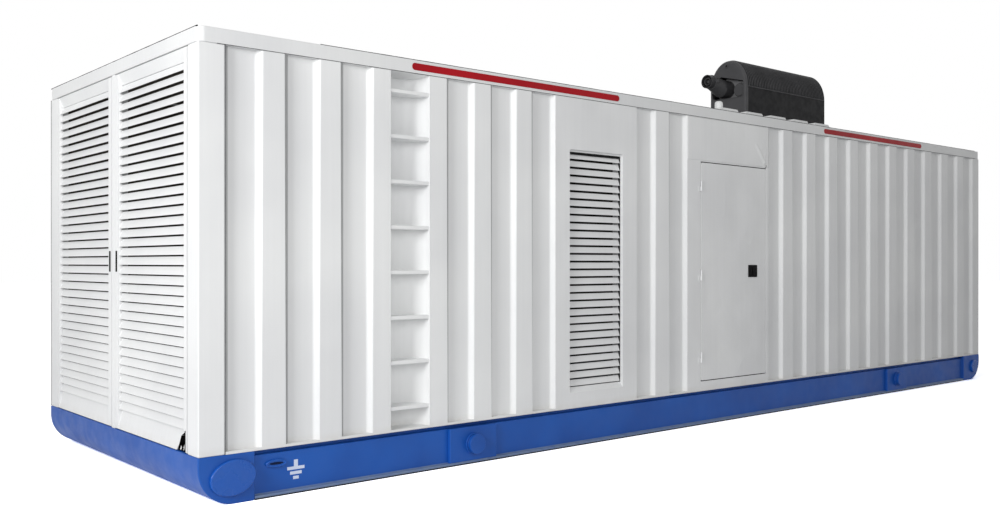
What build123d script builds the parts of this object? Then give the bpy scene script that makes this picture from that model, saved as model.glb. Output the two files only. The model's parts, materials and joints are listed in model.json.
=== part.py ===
from build123d import *
import os

os.makedirs("parts", exist_ok=True)

# Containerised soundproof diesel generator set, all sizes in millimetres.
# X runs along the long side, the louvred door end is at -X.
# The side with the ladder and the personnel door faces -Y, and Z is up from the ground.

# Overall size
length = 8780.0
width = 2438.0
base_height = 258.0
wall_height = 2100.0
rail_height = 80.0
skin_setback = 3.0
wall_thickness = 100.0

# Steel base
flange_out = 25.0
flange_in = 83.0
web_thickness = 12.0
upstand_height = 28.0
upstand_setback = 60.0
ledge_thickness = 12.0
bottom_flange = 22.0
near_block_length = 312.0
far_block_length = 362.0
end_round = 200.0
cross_count = 9
cross_width = 60.0
cross_height = 120.0

# Bosses and lifting bollards on the base
near_boss_proud = 20.0
near_boss_length = 252.0
near_boss_height = 184.0
near_boss_tilt = 8.0
near_boss_inset = 185.0
near_boss_foot_gap = 46.0
boss_round = 7.0
far_boss_radius = 65.0
far_boss_proud = 22.0
far_boss_inset = 150.0
far_boss_drop = 118.0
plate_length = 369.0
near_plate_inset = 1779.0
far_plate_inset = 1763.0
bollard_foot_radius = 66.0
bollard_foot_proud = 12.0
bollard_neck_radius = 54.0
bollard_neck_proud = 10.0
bollard_head_radius = 61.0
bollard_head_proud = 22.0
earth_boss_length = 122.0
earth_boss_height = 42.0
earth_boss_proud = 10.0
earth_boss_inset = 442.0
earth_boss_drop = 83.0
earth_boss_round = 5.0

# Corner posts, as seen from the long side and from the end
post_side = 147.0
post_end = 134.0

# Corrugated walls
recess_mouth = 207.0
recess_depth = 32.0
recess_slope = 22.0
land_width = 142.0
sill_ledge = 14.0
wall_1_length = 1010.0
wall_1_last_land = 113.0
wall_2_length = 1028.0
wall_2_first_land = 127.0
wall_3_length = 570.0

# Ladder channel and its rungs
ladder_width = 295.0
ladder_block_depth = 160.0
groove_width = 275.0
groove_depth = 130.0
rung_pitch = 264.0
rung_first_rise = 135.0
rung_top_margin = 80.0
rung_thickness = 22.0
rung_setback = 4.0
seat_clearance = 0.3

# Louvre blades
blade_pitch = 53.2
blade_thickness = 3.0
blade_side_plate = 6.0
side_blade_depth = 14.0
side_blade_rise = 38.5
leaf_blade_depth = 20.0
leaf_blade_rise = 43.5

# Flat wall panel with a louvre
louvre_panel_length = 804.0
louvre_left_margin = 132.5
louvre_right_margin = 146.0
louvre_sill_margin = 104.0
louvre_head_margin = 350.0
louvre_corner = 15.0
louvre_setback = 26.0
louvre_sill_slope = 36.0
louvre_head_drop = 13.0

# Personnel door in the long side
door_panel_length = 1052.0
door_left_margin = 168.0
door_right_margin = 46.0
door_sill_margin = 81.0
door_head_margin = 347.0
door_gap = 6.0
door_thickness = 60.0
door_corner = 15.0
stop_lip = 15.0
hinge_low_inset = 177.0
hinge_high_inset = 182.0
hinge_middle_drop = 30.0
knuckle_radius = 7.0
knuckle_height = 40.0
knuckle_gap = 0.5
pin_outside = 4.0
hinge_plate_width = 30.0
hinge_plate_thickness = 3.0
notch_clearance = 3.0
latch_width = 116.0
latch_height = 97.0
latch_right_margin = 121.0
latch_proud = 5.0
latch_depth = 12.0

# Louvred end with two leaves
mullion_width = 48.0
mullion_depth = 60.0
leaf_thickness = 60.0
leaf_hinge_gap = 11.0
leaf_gap = 6.0
outer_stile = 37.0
inner_stile = 50.0
leaf_head = 63.5
leaf_sill = 112.0
rail_slant = 26.0
leaf_louvre_setback = 6.0
pivot_radius = 8.0
pivot_from_edge = 25.0
pivot_from_face = 17.0
pivot_reach = 30.0
pivot_clearance = 0.3
handle_width = 16.0
handle_height = 124.0
handle_rise = 992.0
handle_pocket = 10.0
handle_plate = 7.0
tear_edge_strip = 13.0
tear_length = 130.0
tear_height = 116.0
tear_shoulder_length = 85.0
tear_shoulder_height = 80.0
tear_skin_depth = 6.0
tear_hollow_depth = 45.0

# Roof
rail_corner = 40.0
roof_thickness = 40.0
rib_pitch = 333.0
rib_top_width = 204.0
rib_slope = 24.0
rib_height = 24.0
rib_setback = 110.0
long_rib_setback = 14.0
long_ribs_from = 4200.0
long_ribs_to = 5900.0
rib_end_margin = 160.0
strip_height = 42.0
strip_thickness = 3.0
near_strip_inset = 1313.0
near_strip_length = 1783.0
far_strip_inset = 1290.0
far_strip_length = 1758.0
vent_radius = 32.0
vent_height = 60.0
vent_flat_radius = 10.0
vent_inset = 4390.0
vent_rib_offset = -50.0
vent_from_face = 80.0

# Exhaust silencer on the roof
silencer_far_inset = 1380.0
silencer_length = 1410.0
silencer_width = 432.0
silencer_foot_height = 64.0
silencer_side_height = 440.0
silencer_arch_rise = 274.0
silencer_corner = 24.0
front_plate_thickness = 40.0
mouth_width = 376.0
mouth_sill_drop = 102.0
mouth_peak_offset = 80.0
mouth_peak_rise = 125.0
mouth_shoulder_rise = 58.0
mouth_corner = 40.0
mouth_depth = 110.0
outlet_root_radius = 88.0
outlet_root_offset = 78.0
outlet_root_rise = 7.0
outlet_root_reach = 20.0
outlet_radius = 66.0
outlet_wall = 6.0
outlet_reach = 190.0
outlet_lip = 60.0
outlet_offset = 110.0
outlet_rise = 61.0
stub_radius = 66.0
stub_setback = 20.0
stub_offset = 118.0
stub_drop = 26.0
foot_length = 90.0
foot_inset = 320.0

# Levels and faces worked out from the sizes above
wall_top = base_height + wall_height
rail_top = wall_top + rail_height
near_x = -length / 2
far_x = length / 2
rail_face = width / 2
skin = width / 2 - skin_setback
wall_inside = skin - wall_thickness
near_skin = near_x + skin_setback
far_skin = far_x - skin_setback
rail_width = skin_setback + wall_thickness
web_face = rail_face - flange_out
rib_top = rail_top + rib_height
plate_stations = (near_x + near_plate_inset, far_x - far_plate_inset)
plate_levels = (bottom_flange, base_height - upstand_height)
louvre_opening_width = louvre_panel_length - louvre_left_margin - louvre_right_margin
louvre_levels = (base_height + louvre_sill_margin, wall_top - louvre_head_margin)
door_width = door_panel_length - door_left_margin - door_right_margin
door_bottom = base_height + door_sill_margin
door_top = wall_top - door_head_margin
door_middle = (door_bottom + door_top) / 2
hinge_levels = (door_bottom + hinge_low_inset, door_middle - hinge_middle_drop, door_top - hinge_high_inset)
silencer_front_x = far_x - silencer_far_inset - silencer_length
silencer_low = rib_top + silencer_foot_height
silencer_seam = silencer_low + silencer_side_height

# Stations along the long side, from the near end
wall_1_start = near_x + post_side
ladder_start = wall_1_start + wall_1_length
wall_2_start = ladder_start + ladder_width
louvre_panel_start = wall_2_start + wall_2_length
wall_3_start = louvre_panel_start + louvre_panel_length
door_panel_start = wall_3_start + wall_3_length
wall_4_start = door_panel_start + door_panel_length
wall_4_end = far_x - post_side


def block(x_span, y_span, z_span):
    """A box between two values along each axis."""
    size = [abs(span[1] - span[0]) for span in (x_span, y_span, z_span)]
    centre = [(span[1] + span[0]) / 2 for span in (x_span, y_span, z_span)]
    return Pos(*centre) * Box(*size)


def prism(points, travel):
    """The closed outline through the points, pushed along one vector."""
    return Solid.extrude(Face(Wire.make_polygon(points)), Vector(*travel))


def cylinder_y(radius, x, z, y_span):
    """A round bar along Y."""
    centre = Pos(x, (y_span[0] + y_span[1]) / 2, z)
    return centre * Rot(90, 0, 0) * Cylinder(radius, abs(y_span[1] - y_span[0]))


def cylinder_z(radius, x, y, z_span):
    """A round bar along Z."""
    return Pos(x, y, (z_span[0] + z_span[1]) / 2) * Cylinder(radius, abs(z_span[1] - z_span[0]))


def mirrored(solids):
    """The solids and their copies across the long vertical middle plane."""
    return solids + [solid.mirror(Plane.XZ) for solid in solids]


def write(name, solids):
    """One STEP file for one named piece, or for several like pieces."""
    shape = solids[0] if len(solids) == 1 else Compound(solids)
    export_step(shape, os.path.join("parts", name + ".step"))


def end_block(x_outer, x_inner):
    """A base end piece whose outer bottom edge is rounded over the whole width."""
    body = block((x_outer, x_inner), (-rail_face, rail_face), (0, base_height))
    edges = body.edges().filter_by(Axis.Y)
    lower = [edge for edge in edges if edge.center().Z < base_height / 2]
    outer = max(lower, key=lambda edge: abs(edge.center().X))
    return fillet(outer, min(end_round, base_height - upstand_height))


def side_rail():
    """The base member under the -Y wall: a web over a foot, with a ledge and an upstand on top."""
    foot = -rail_face
    web_outer = -web_face
    web_inner = web_outer + web_thickness
    upstand = foot + upstand_setback
    inner = web_inner + flange_in
    ledge_top = base_height - upstand_height
    x = near_x + near_block_length
    outline = [
        (x, foot, 0),
        (x, inner, 0),
        (x, inner, bottom_flange),
        (x, web_inner, bottom_flange),
        (x, web_inner, ledge_top - ledge_thickness),
        (x, inner, ledge_top - ledge_thickness),
        (x, inner, base_height),
        (x, upstand, base_height),
        (x, upstand, ledge_top),
        (x, web_outer, ledge_top),
        (x, web_outer, bottom_flange),
        (x, foot, bottom_flange),
    ]
    return prism(outline, (length - near_block_length - far_block_length, 0, 0))


def crossmembers():
    """Bars between the two side rails, under the deck."""
    start = near_x + near_block_length
    span = length - near_block_length - far_block_length
    reach = web_face - web_thickness
    top = base_height - upstand_height - ledge_thickness
    bars = []
    for index in range(cross_count):
        x = start + span * (index + 1) / (cross_count + 1)
        x_span = (x - cross_width / 2, x + cross_width / 2)
        bars.append(block(x_span, (-reach, reach), (top - cross_height, top)))
    return bars


def obround_y(length_x, height_z, x, z, y_span):
    """A flat boss with two half-round ends, standing along Y."""
    radius = height_z / 2
    half = length_x / 2 - radius
    body = block((x - half, x + half), y_span, (z - radius, z + radius))
    return body + cylinder_y(radius, x - half, z, y_span) + cylinder_y(radius, x + half, z, y_span)


def raised_boss(outline, proud, x, level, y=-rail_face, rim=boss_round):
    """A raised boss on a -Y face of the base, with a rounded rim."""
    face = Plane(origin=(x, y, level), x_dir=(1, 0, 0), z_dir=(0, -1, 0)) * outline
    boss = extrude(face, proud)
    return fillet(boss.edges().sort_by(Axis.Y)[0], rim)


def end_bosses():
    """The large bosses on the sides of the base end pieces: oval near, round far."""
    oval = Ellipse(near_boss_length / 2, near_boss_height / 2, rotation=near_boss_tilt)
    near = raised_boss(oval, near_boss_proud, near_x + near_boss_inset,
                       near_boss_foot_gap + near_boss_height / 2)
    far = raised_boss(Circle(far_boss_radius), far_boss_proud, far_x - far_boss_inset,
                      base_height - far_boss_drop)
    return mirrored([near, far])


def lifting_plates():
    """Plates set between the foot and the ledge of the side rails."""
    plates = []
    for x in plate_stations:
        x_span = (x - plate_length / 2, x + plate_length / 2)
        plates.append(block(x_span, (-rail_face, -web_face), plate_levels))
    return mirrored(plates)


def lifting_bollards():
    """Round bollards on the lifting plates: a foot, a narrower neck and a head."""
    steps = (
        (bollard_foot_radius, bollard_foot_proud),
        (bollard_neck_radius, bollard_neck_proud),
        (bollard_head_radius, bollard_head_proud),
    )
    level = (plate_levels[0] + plate_levels[1]) / 2
    bollards = []
    for x in plate_stations:
        face = -rail_face
        drums = []
        for radius, proud in steps:
            drums.append(cylinder_y(radius, x, level, (face - proud, face)))
            face -= proud
        bollards.append(drums[0] + drums[1] + drums[2])
    return mirrored(bollards)


def corner_posts():
    """Four posts between the base and the top rails."""
    y_span = (-skin, -rail_face + post_end)
    z_span = (base_height, wall_top)
    near = block((near_skin, near_x + post_side), y_span, z_span)
    far = block((far_x - post_side, far_skin), y_span, z_span)
    return mirrored([near, far])


def corrugated_wall(x_start, x_end, first_land, last_land):
    """A wall panel on the -Y side with upright recesses and a flat inner face."""
    span = x_end - x_start - first_land - last_land
    count = max(1, round((span + land_width) / (recess_mouth + land_width)))
    mouth = min(recess_mouth, span / count)
    pitch = (span - mouth) / (count - 1) if count > 1 else 0.0
    outer = -skin
    floor = outer + recess_depth
    inner = -wall_inside
    z = base_height + sill_ledge
    outline = [(x_end, inner, z), (x_start, inner, z)]
    if first_land > 0:
        outline.append((x_start, outer, z))
    for index in range(count):
        left = x_start + first_land + index * pitch
        right = left + mouth
        outline += [(left, outer, z), (left + recess_slope, floor, z)]
        outline += [(right - recess_slope, floor, z), (right, outer, z)]
    if last_land > 0:
        outline.append((x_end, outer, z))
    upper = prism(outline, (0, 0, wall_top - z))
    ledge = block((x_start, x_end), (outer, inner), (base_height, z))
    return ledge + upper


def ladder_channel():
    """A block with a deep rounded groove over the height of the wall."""
    x_span = (ladder_start, ladder_start + ladder_width)
    body = block(x_span, (-skin, -skin + ladder_block_depth), (base_height, wall_top))
    return body - groove(groove_width / 2, groove_depth, base_height + sill_ledge, wall_top)


def groove(half_width, depth, z_low, z_high):
    """The half-ellipse hollow of the ladder channel between two levels."""
    x = ladder_start + ladder_width / 2
    return Pos(x, -skin, z_low) * extrude(Ellipse(half_width, depth), z_high - z_low)


def ladder_rungs():
    """D-shaped treads let into the groove, one above the other."""
    rungs = []
    front = block((ladder_start, ladder_start + ladder_width),
                  (-skin - 2 * groove_depth, -skin + rung_setback), (0, rail_top))
    first = base_height + rung_first_rise
    count = int((wall_top - rung_top_margin - first) // rung_pitch) + 1
    for index in range(count):
        z = first + index * rung_pitch
        tread = groove(groove_width / 2 - seat_clearance, groove_depth - seat_clearance,
                       z - rung_thickness / 2, z + rung_thickness / 2)
        rungs.append(tread - front)
    return rungs


def louvre_pack(z_low, z_high, run, depth, rise):
    """Sloping blades between two side plates, in a local frame.

    X is along the blades, Y goes inwards from the blades' front edges, Z is up.
    """
    sides = [
        block((0, blade_side_plate), (0, depth), (z_low, z_high)),
        block((run - blade_side_plate, run), (0, depth), (z_low, z_high)),
    ]
    count = int((z_high - z_low - rise - blade_thickness) // blade_pitch) + 1
    spare = z_high - z_low - rise - blade_thickness - (count - 1) * blade_pitch
    blades = []
    for index in range(count):
        z = z_low + spare / 2 + index * blade_pitch
        outline = [
            (blade_side_plate, 0, z),
            (blade_side_plate, depth, z + rise),
            (blade_side_plate, depth, z + rise + blade_thickness),
            (blade_side_plate, 0, z + blade_thickness),
        ]
        blades.append(prism(outline, (run - 2 * blade_side_plate, 0, 0)))
    return sides[0].fuse(sides[1], *blades)


def side_louvre_levels():
    """The levels between which the blades of the side louvre stand."""
    return louvre_levels[0] + louvre_sill_slope, louvre_levels[1] - louvre_head_drop


def louvre_panel():
    """The flat wall panel on the -Y side: a rounded hole, a sloping sill and the blades' seat behind."""
    body = block((louvre_panel_start, wall_3_start), (-skin, -wall_inside), (base_height, wall_top))
    left = louvre_panel_start + louvre_left_margin
    right = left + louvre_opening_width
    seat_y = -skin + louvre_setback
    rim = block((left, right), (-skin, seat_y), louvre_levels)
    rim = fillet(rim.edges().filter_by(Axis.Y), louvre_corner)
    seat_levels = side_louvre_levels()
    seat = block((left, right), (seat_y, -wall_inside), seat_levels)
    low = louvre_levels[0]
    outline = [(left, -skin, low), (left, seat_y, low), (left, seat_y, seat_levels[0])]
    sill = prism(outline, (louvre_opening_width, 0, 0)) & rim
    return body - rim - seat + sill


def side_louvre():
    """The blade pack in the hole of the flat wall panel."""
    left = louvre_panel_start + louvre_left_margin
    pack = louvre_pack(*side_louvre_levels(), louvre_opening_width, side_blade_depth, side_blade_rise)
    return Pos(left, -skin + louvre_setback, 0) * pack


def door_opening():
    """The X and Z spans of the hole for the personnel door, gaps included."""
    left = door_panel_start + door_left_margin
    x_span = (left - door_gap, left + door_width + door_gap)
    return x_span, (door_bottom - door_gap, door_top + door_gap)


def hinge_axis():
    """Where the personnel door's hinge pins stand, in X and Y."""
    left = door_panel_start + door_left_margin
    return left - door_gap / 2, -skin - pin_outside


def hinge_notches():
    """The spaces round the hinge knuckles, cut from the leaf and the jamb."""
    x, y = hinge_axis()
    reach = knuckle_radius + notch_clearance
    notches = []
    for level in hinge_levels:
        half = knuckle_height + notch_clearance
        z_span = (level - half, level + half)
        notches.append(block((x - reach, x + reach), (y - reach, y + reach), z_span))
    return notches


def doorway_jambs():
    """The upright wall pieces on both sides of the personnel door."""
    x_span, z_span = door_opening()
    walls = (base_height, wall_top)
    lip_y = (-skin + door_thickness + door_gap, -wall_inside)
    hinge_side = block((door_panel_start, x_span[0]), (-skin, -wall_inside), walls)
    hinge_side += block((x_span[0], x_span[0] + stop_lip), lip_y, z_span)
    for notch in hinge_notches():
        hinge_side -= notch
    latch_side = block((x_span[1], wall_4_start), (-skin, -wall_inside), walls)
    latch_side += block((x_span[1] - stop_lip, x_span[1]), lip_y, z_span)
    return [hinge_side, latch_side]


def doorway_header():
    """The wall piece over the personnel door."""
    x_span, z_span = door_opening()
    return block(x_span, (-skin, -wall_inside), (z_span[1], wall_top))


def doorway_sill():
    """The wall piece under the personnel door."""
    x_span, z_span = door_opening()
    return block(x_span, (-skin, -wall_inside), (base_height, z_span[0]))


def latch_levels():
    """The lowest and highest level of the latch, at the middle of the door."""
    return door_middle - latch_height / 2, door_middle + latch_height / 2


def latch_span():
    """The X span of the latch of the personnel door."""
    right = door_panel_start + door_left_margin + door_width - latch_right_margin
    return right - latch_width, right


def door_leaf():
    """The flush personnel door, with a pocket for its latch."""
    left = door_panel_start + door_left_margin
    leaf = block((left, left + door_width), (-skin, -skin + door_thickness), (door_bottom, door_top))
    leaf = fillet(leaf.edges().filter_by(Axis.Y), door_corner)
    leaf -= block(latch_span(), (-skin, -skin + latch_depth), latch_levels())
    for notch in hinge_notches():
        leaf -= notch
    return leaf


def door_latch():
    """The black latch body in its pocket."""
    return block(latch_span(), (-skin - latch_proud, -skin + latch_depth), latch_levels())


def hinge_halves(side):
    """The weld-on hinge halves: side is -1 on the jamb and 1 on the leaf."""
    x, y = hinge_axis()
    halves = []
    for level in hinge_levels:
        low = level - knuckle_height if side < 0 else level + knuckle_gap
        z_span = (low, low + knuckle_height - (knuckle_gap if side > 0 else 0))
        knuckle = cylinder_z(knuckle_radius, x, y, z_span)
        plate_x = (x, x + side * (knuckle_radius + hinge_plate_width))
        plate = block(plate_x, (-skin - hinge_plate_thickness, -skin), z_span)
        halves.append(knuckle + plate)
    return halves


def leaf_spans():
    """The Y span of each louvred leaf, the -Y one first."""
    hinge_edge = -rail_face + post_end + leaf_hinge_gap
    meeting_edge = -mullion_width / 2 - leaf_gap
    return (hinge_edge, meeting_edge), (-meeting_edge, -hinge_edge)


def leaf_levels():
    """The lowest and highest level of a louvred leaf."""
    return base_height + leaf_gap, wall_top - leaf_gap


def slanted_rail(y_span, z_face, z_back):
    """A leaf's head or sill, whose front slants back away from the leaf's edge."""
    outline = [
        (near_skin, y_span[0], z_face),
        (near_skin + leaf_thickness, y_span[0], z_face),
        (near_skin + leaf_thickness, y_span[0], z_back),
        (near_skin + rail_slant, y_span[0], z_back),
    ]
    return prism(outline, (0, y_span[1] - y_span[0], 0))


def handle_levels():
    """The lowest and highest level of a leaf's flush handle."""
    middle = base_height + handle_rise
    return middle - handle_height / 2, middle + handle_height / 2


def leaf_frame():
    """The frame of the -Y louvred leaf, with the bores for its pivots."""
    y_low, y_high = leaf_spans()[0]
    z_low, z_high = leaf_levels()
    x_span = (near_skin, near_skin + leaf_thickness)
    outer = block(x_span, (y_low, y_low + outer_stile), (z_low, z_high))
    inner = block(x_span, (y_high - inner_stile, y_high), (z_low, z_high))
    between = (y_low + outer_stile, y_high - inner_stile)
    head = slanted_rail(between, z_high, z_high - leaf_head)
    sill = slanted_rail(between, z_low, z_low + leaf_sill)
    frame = outer.fuse(inner, head, sill)
    for z in (z_low, z_high):
        bore = (z - pivot_reach - pivot_clearance, z + pivot_reach + pivot_clearance)
        frame -= cylinder_z(pivot_radius + pivot_clearance, near_skin + pivot_from_face,
                            y_low + pivot_from_edge, bore)
    middle = y_high - inner_stile / 2
    pocket_y = (middle - handle_width / 2, middle + handle_width / 2)
    return frame - block((near_skin, near_skin + handle_pocket), pocket_y, handle_levels())


def tear():
    """The torn away corner of the -Y leaf's sill: the skin, and the hollow behind it past the stile."""
    y = leaf_spans()[0][0]
    z = leaf_levels()[0]
    points = [
        (near_skin, y + tear_edge_strip, z),
        (near_skin, y + tear_length, z),
        (near_skin, y + tear_shoulder_length, z + tear_shoulder_height),
        (near_skin, y + tear_edge_strip, z + tear_height),
    ]
    hollow_span = (y + outer_stile, y + tear_length)
    past_stile = block((near_skin, near_skin + tear_hollow_depth), hollow_span, (z, z + tear_height))
    hollow = prism(points, (tear_hollow_depth, 0, 0)) & past_stile
    return prism(points, (tear_skin_depth, 0, 0)) + hollow


def leaf_louvre():
    """The blade pack of the -Y louvred leaf."""
    y_low, y_high = leaf_spans()[0]
    z_low, z_high = leaf_levels()
    run = y_high - inner_stile - y_low - outer_stile
    pack = louvre_pack(z_low + leaf_sill, z_high - leaf_head, run, leaf_blade_depth, leaf_blade_rise)
    placed = Rot(0, 0, 90) * pack
    placed = placed.mirror(Plane.YZ)
    return Pos(near_skin + leaf_louvre_setback, y_low + outer_stile, 0) * placed


def leaf_handle():
    """The black flush handle in the inner stile of the -Y leaf."""
    middle = leaf_spans()[0][1] - inner_stile / 2
    return block((near_skin + handle_pocket - handle_plate, near_skin + handle_pocket),
                 (middle - handle_width / 2, middle + handle_width / 2), handle_levels())


def pivot_pins():
    """The pins on the base and under the top rail that the two leaves turn on."""
    x = near_skin + pivot_from_face
    y = leaf_spans()[0][0] + pivot_from_edge
    z_low, z_high = leaf_levels()
    low = cylinder_z(pivot_radius, x, y, (base_height, z_low + pivot_reach))
    high = cylinder_z(pivot_radius, x, y, (z_high - pivot_reach, wall_top))
    return mirrored([low, high])


def far_end_frame():
    """The fixed frame at the +X end with the holes for two louvres."""
    reach = rail_face - post_end
    body = block((far_skin - leaf_thickness, far_skin), (-reach, reach), (base_height, wall_top))
    z_low, z_high = leaf_levels()
    for y_span in leaf_spans():
        inner_first = y_span[0] > 0
        low = y_span[0] + (inner_stile if inner_first else outer_stile)
        high = y_span[1] - (outer_stile if inner_first else inner_stile)
        body -= block((far_skin - leaf_thickness, far_skin), (low, high),
                      (z_low + leaf_sill, z_high - leaf_head))
    return body


def far_end_louvres():
    """The two fixed blade packs at the +X end."""
    return [pack.mirror(Plane.YZ) for pack in mirrored([leaf_louvre()])]


def rail_ring():
    """The rounded ring of top rails, before it is cut at the corners."""
    outer = extrude(RectangleRounded(length, width, rail_corner), rail_height)
    inner = Box(length - 2 * rail_width, width - 2 * rail_width, 3 * rail_height)
    return Pos(0, 0, wall_top) * (outer - inner)


def top_rails():
    """The side rails and the end rails of the roof, in that order."""
    inner_x = length / 2 - rail_width
    levels = (wall_top, rail_top)
    ring = rail_ring()
    inner_y = width / 2 - rail_width
    sides = mirrored([block((-inner_x, inner_x), (-rail_face, -inner_y), levels)])
    ends = []
    for x_span in ((near_x, -inner_x), (inner_x, far_x)):
        ends.append(ring & block(x_span, (-rail_face, rail_face), levels))
    return sides, ends


def rib_centres():
    """Where the ribs across the roof lie along the unit, from the near end."""
    span = length - 2 * rib_end_margin - rib_top_width - 2 * rib_slope
    count = int(span // rib_pitch) + 1
    return [(index - (count - 1) / 2) * rib_pitch for index in range(count)]


def nearest_rib(x):
    """The middle of the roof rib that is closest to a place along the unit."""
    return min(rib_centres(), key=lambda centre: abs(centre - x))


def roof_sheet():
    """The roof between the rails, with ribs across. Some ribs reach out over the rails."""
    x = length / 2 - rail_width
    y = width / 2 - rail_width
    sheet = block((-x, x), (-y, y), (rail_top - roof_thickness, rail_top))
    ribs = []
    half = rib_top_width / 2
    for centre in rib_centres():
        over_rails = long_ribs_from < centre - near_x < long_ribs_to
        end = rail_face - (long_rib_setback if over_rails else rib_setback)
        outline = [
            (centre - half - rib_slope, -end, rail_top),
            (centre + half + rib_slope, -end, rail_top),
            (centre + half, -end, rib_top),
            (centre - half, -end, rib_top),
        ]
        ribs.append(prism(outline, (0, 2 * end, 0)))
    return sheet.fuse(*ribs)


def marker_strips():
    """The coloured strips along the faces of the top side rails."""
    middle = (wall_top + rail_top) / 2
    y_span = (-rail_face - strip_thickness, -rail_face)
    near = obround_y(near_strip_length, strip_height, near_x + near_strip_inset + near_strip_length / 2,
                     middle, y_span)
    far = obround_y(far_strip_length, strip_height, far_x - far_strip_inset - far_strip_length / 2,
                    middle, y_span)
    return mirrored([near, far])


def arch_outline(width_across, rise, x):
    """The cross-section of the silencer: straight sides under a half-ellipse arch."""
    half = width_across / 2
    lower = Rectangle(width_across, silencer_side_height, align=(Align.CENTER, Align.MIN))
    arch = Ellipse(half, rise) & Rectangle(width_across, rise, align=(Align.CENTER, Align.MIN))
    outline = Pos(0, silencer_low) * lower + Pos(0, silencer_seam) * arch
    return Plane(origin=(x, 0, 0), x_dir=(0, 1, 0), z_dir=(1, 0, 0)) * outline


def silencer_mouth(x, depth):
    """The hollow in the front of the silencer that the two pipes stand in, under a slanting top edge."""
    half = mouth_width / 2
    corners = Polyline(
        (-half, silencer_seam - mouth_sill_drop),
        (half, silencer_seam - mouth_sill_drop),
        (half, silencer_seam + mouth_shoulder_rise),
        (mouth_peak_offset, silencer_seam + mouth_peak_rise),
        (-half, silencer_seam + mouth_shoulder_rise),
        close=True,
    )
    outline = make_face(corners)
    outline = fillet(outline.vertices().sort_by(Axis.Y)[:2], mouth_corner)
    placed = Plane(origin=(x, 0, 0), x_dir=(0, 1, 0), z_dir=(1, 0, 0)) * outline
    return extrude(placed, depth)


def silencer_body():
    """The silencer's housing behind its front plate, rounded at the far end."""
    x = silencer_front_x + front_plate_thickness
    run = silencer_length - front_plate_thickness
    outline = arch_outline(silencer_width, silencer_arch_rise, x)
    body = extrude(outline, run)
    back_edges = body.faces().sort_by(Axis.X)[-1].edges()
    body = fillet(back_edges.sort_by(Axis.Z)[1:], silencer_corner)
    return body - silencer_mouth(x, mouth_depth - front_plate_thickness)


def silencer_front():
    """The front plate of the silencer, rounded round its outer edge, with the mouth."""
    plate = extrude(arch_outline(silencer_width, silencer_arch_rise, silencer_front_x), front_plate_thickness)
    front_edges = plate.faces().sort_by(Axis.X)[0].edges()
    plate = fillet(front_edges.sort_by(Axis.Z)[1:], silencer_corner)
    return plate - silencer_mouth(silencer_front_x, front_plate_thickness)


def round_x(radius, x, y, z):
    """A round outline that faces -X."""
    return Plane(origin=(x, y, z), x_dir=(0, 1, 0), z_dir=(-1, 0, 0)) * Circle(radius)


def silencer_outlet():
    """The open tail pipe: a drum that leans out as a cone and ends in a short round mouth."""
    root = round_x(outlet_root_radius, silencer_front_x - outlet_root_reach, outlet_root_offset,
                   silencer_seam + outlet_root_rise)
    drum = extrude(root, -mouth_depth - outlet_root_reach)
    shoulder_x = silencer_front_x - outlet_reach + outlet_lip
    level = silencer_seam + outlet_rise
    shoulder = round_x(outlet_radius, shoulder_x, outlet_offset, level)
    cone = loft([root, shoulder])
    lip = extrude(shoulder, outlet_lip)
    bore = extrude(round_x(outlet_radius - outlet_wall, shoulder_x, outlet_offset, level), outlet_lip)
    return drum + cone + lip - bore


def silencer_stub():
    """The short capped pipe beside the outlet."""
    root_x = silencer_front_x + mouth_depth
    outline = round_x(stub_radius, root_x, -stub_offset, silencer_seam - stub_drop)
    return extrude(outline, mouth_depth - stub_setback)


def silencer_feet():
    """The two bars across that carry the silencer on the roof ribs."""
    half = silencer_width / 2
    near = nearest_rib(silencer_front_x + foot_inset)
    far = nearest_rib(silencer_front_x + silencer_length - foot_inset)
    return [block((x - foot_length / 2, x + foot_length / 2), (-half, half), (rib_top, silencer_low))
            for x in (near, far)]


def roof_vent():
    """The small round cap on one of the roof's ribs, close to the edge."""
    x = nearest_rib(near_x + vent_inset) + vent_rib_offset
    y = -rail_face + vent_from_face
    cap = cylinder_z(vent_radius, x, y, (rib_top, rib_top + vent_height))
    return fillet(cap.edges().sort_by(Axis.Z)[-1], vent_radius - vent_flat_radius)


# Base
write("base_near_end", [end_block(near_x, near_x + near_block_length)])
write("base_far_end", [end_block(far_x, far_x - far_block_length)])
write("base_side_rails", mirrored([side_rail()]))
write("base_crossmembers", crossmembers())
write("base_end_bosses", end_bosses())
write("lifting_plates", lifting_plates())
write("lifting_bollards", lifting_bollards())
deck_x = (near_x + near_block_length, far_x - far_block_length)
deck_y = web_face - web_thickness - flange_in
deck = block(deck_x, (-deck_y, deck_y), (base_height - upstand_height - ledge_thickness, base_height))
write("floor_deck", [deck])
earth_oval = Ellipse(earth_boss_length / 2, earth_boss_height / 2)
write("earth_boss", [raised_boss(earth_oval, earth_boss_proud, near_x + earth_boss_inset,
                                 base_height - earth_boss_drop, -web_face, earth_boss_round)])

# Walls on the door side
write("corner_posts", corner_posts())
write("door_side_wall_1", [corrugated_wall(wall_1_start, ladder_start, 0, wall_1_last_land)])
write("door_side_wall_2", [corrugated_wall(wall_2_start, louvre_panel_start, wall_2_first_land, 0)])
write("door_side_wall_3", [corrugated_wall(wall_3_start, door_panel_start, 0, 0)])
write("door_side_wall_4", [corrugated_wall(wall_4_start, wall_4_end, 0, 0)])
write("ladder_channel", [ladder_channel()])
write("ladder_rungs", ladder_rungs())
write("louvre_panels", mirrored([louvre_panel()]))
write("side_louvres", mirrored([side_louvre()]))
write("doorway_jambs", doorway_jambs())
write("doorway_head_and_sill", [doorway_header(), doorway_sill()])

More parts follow.
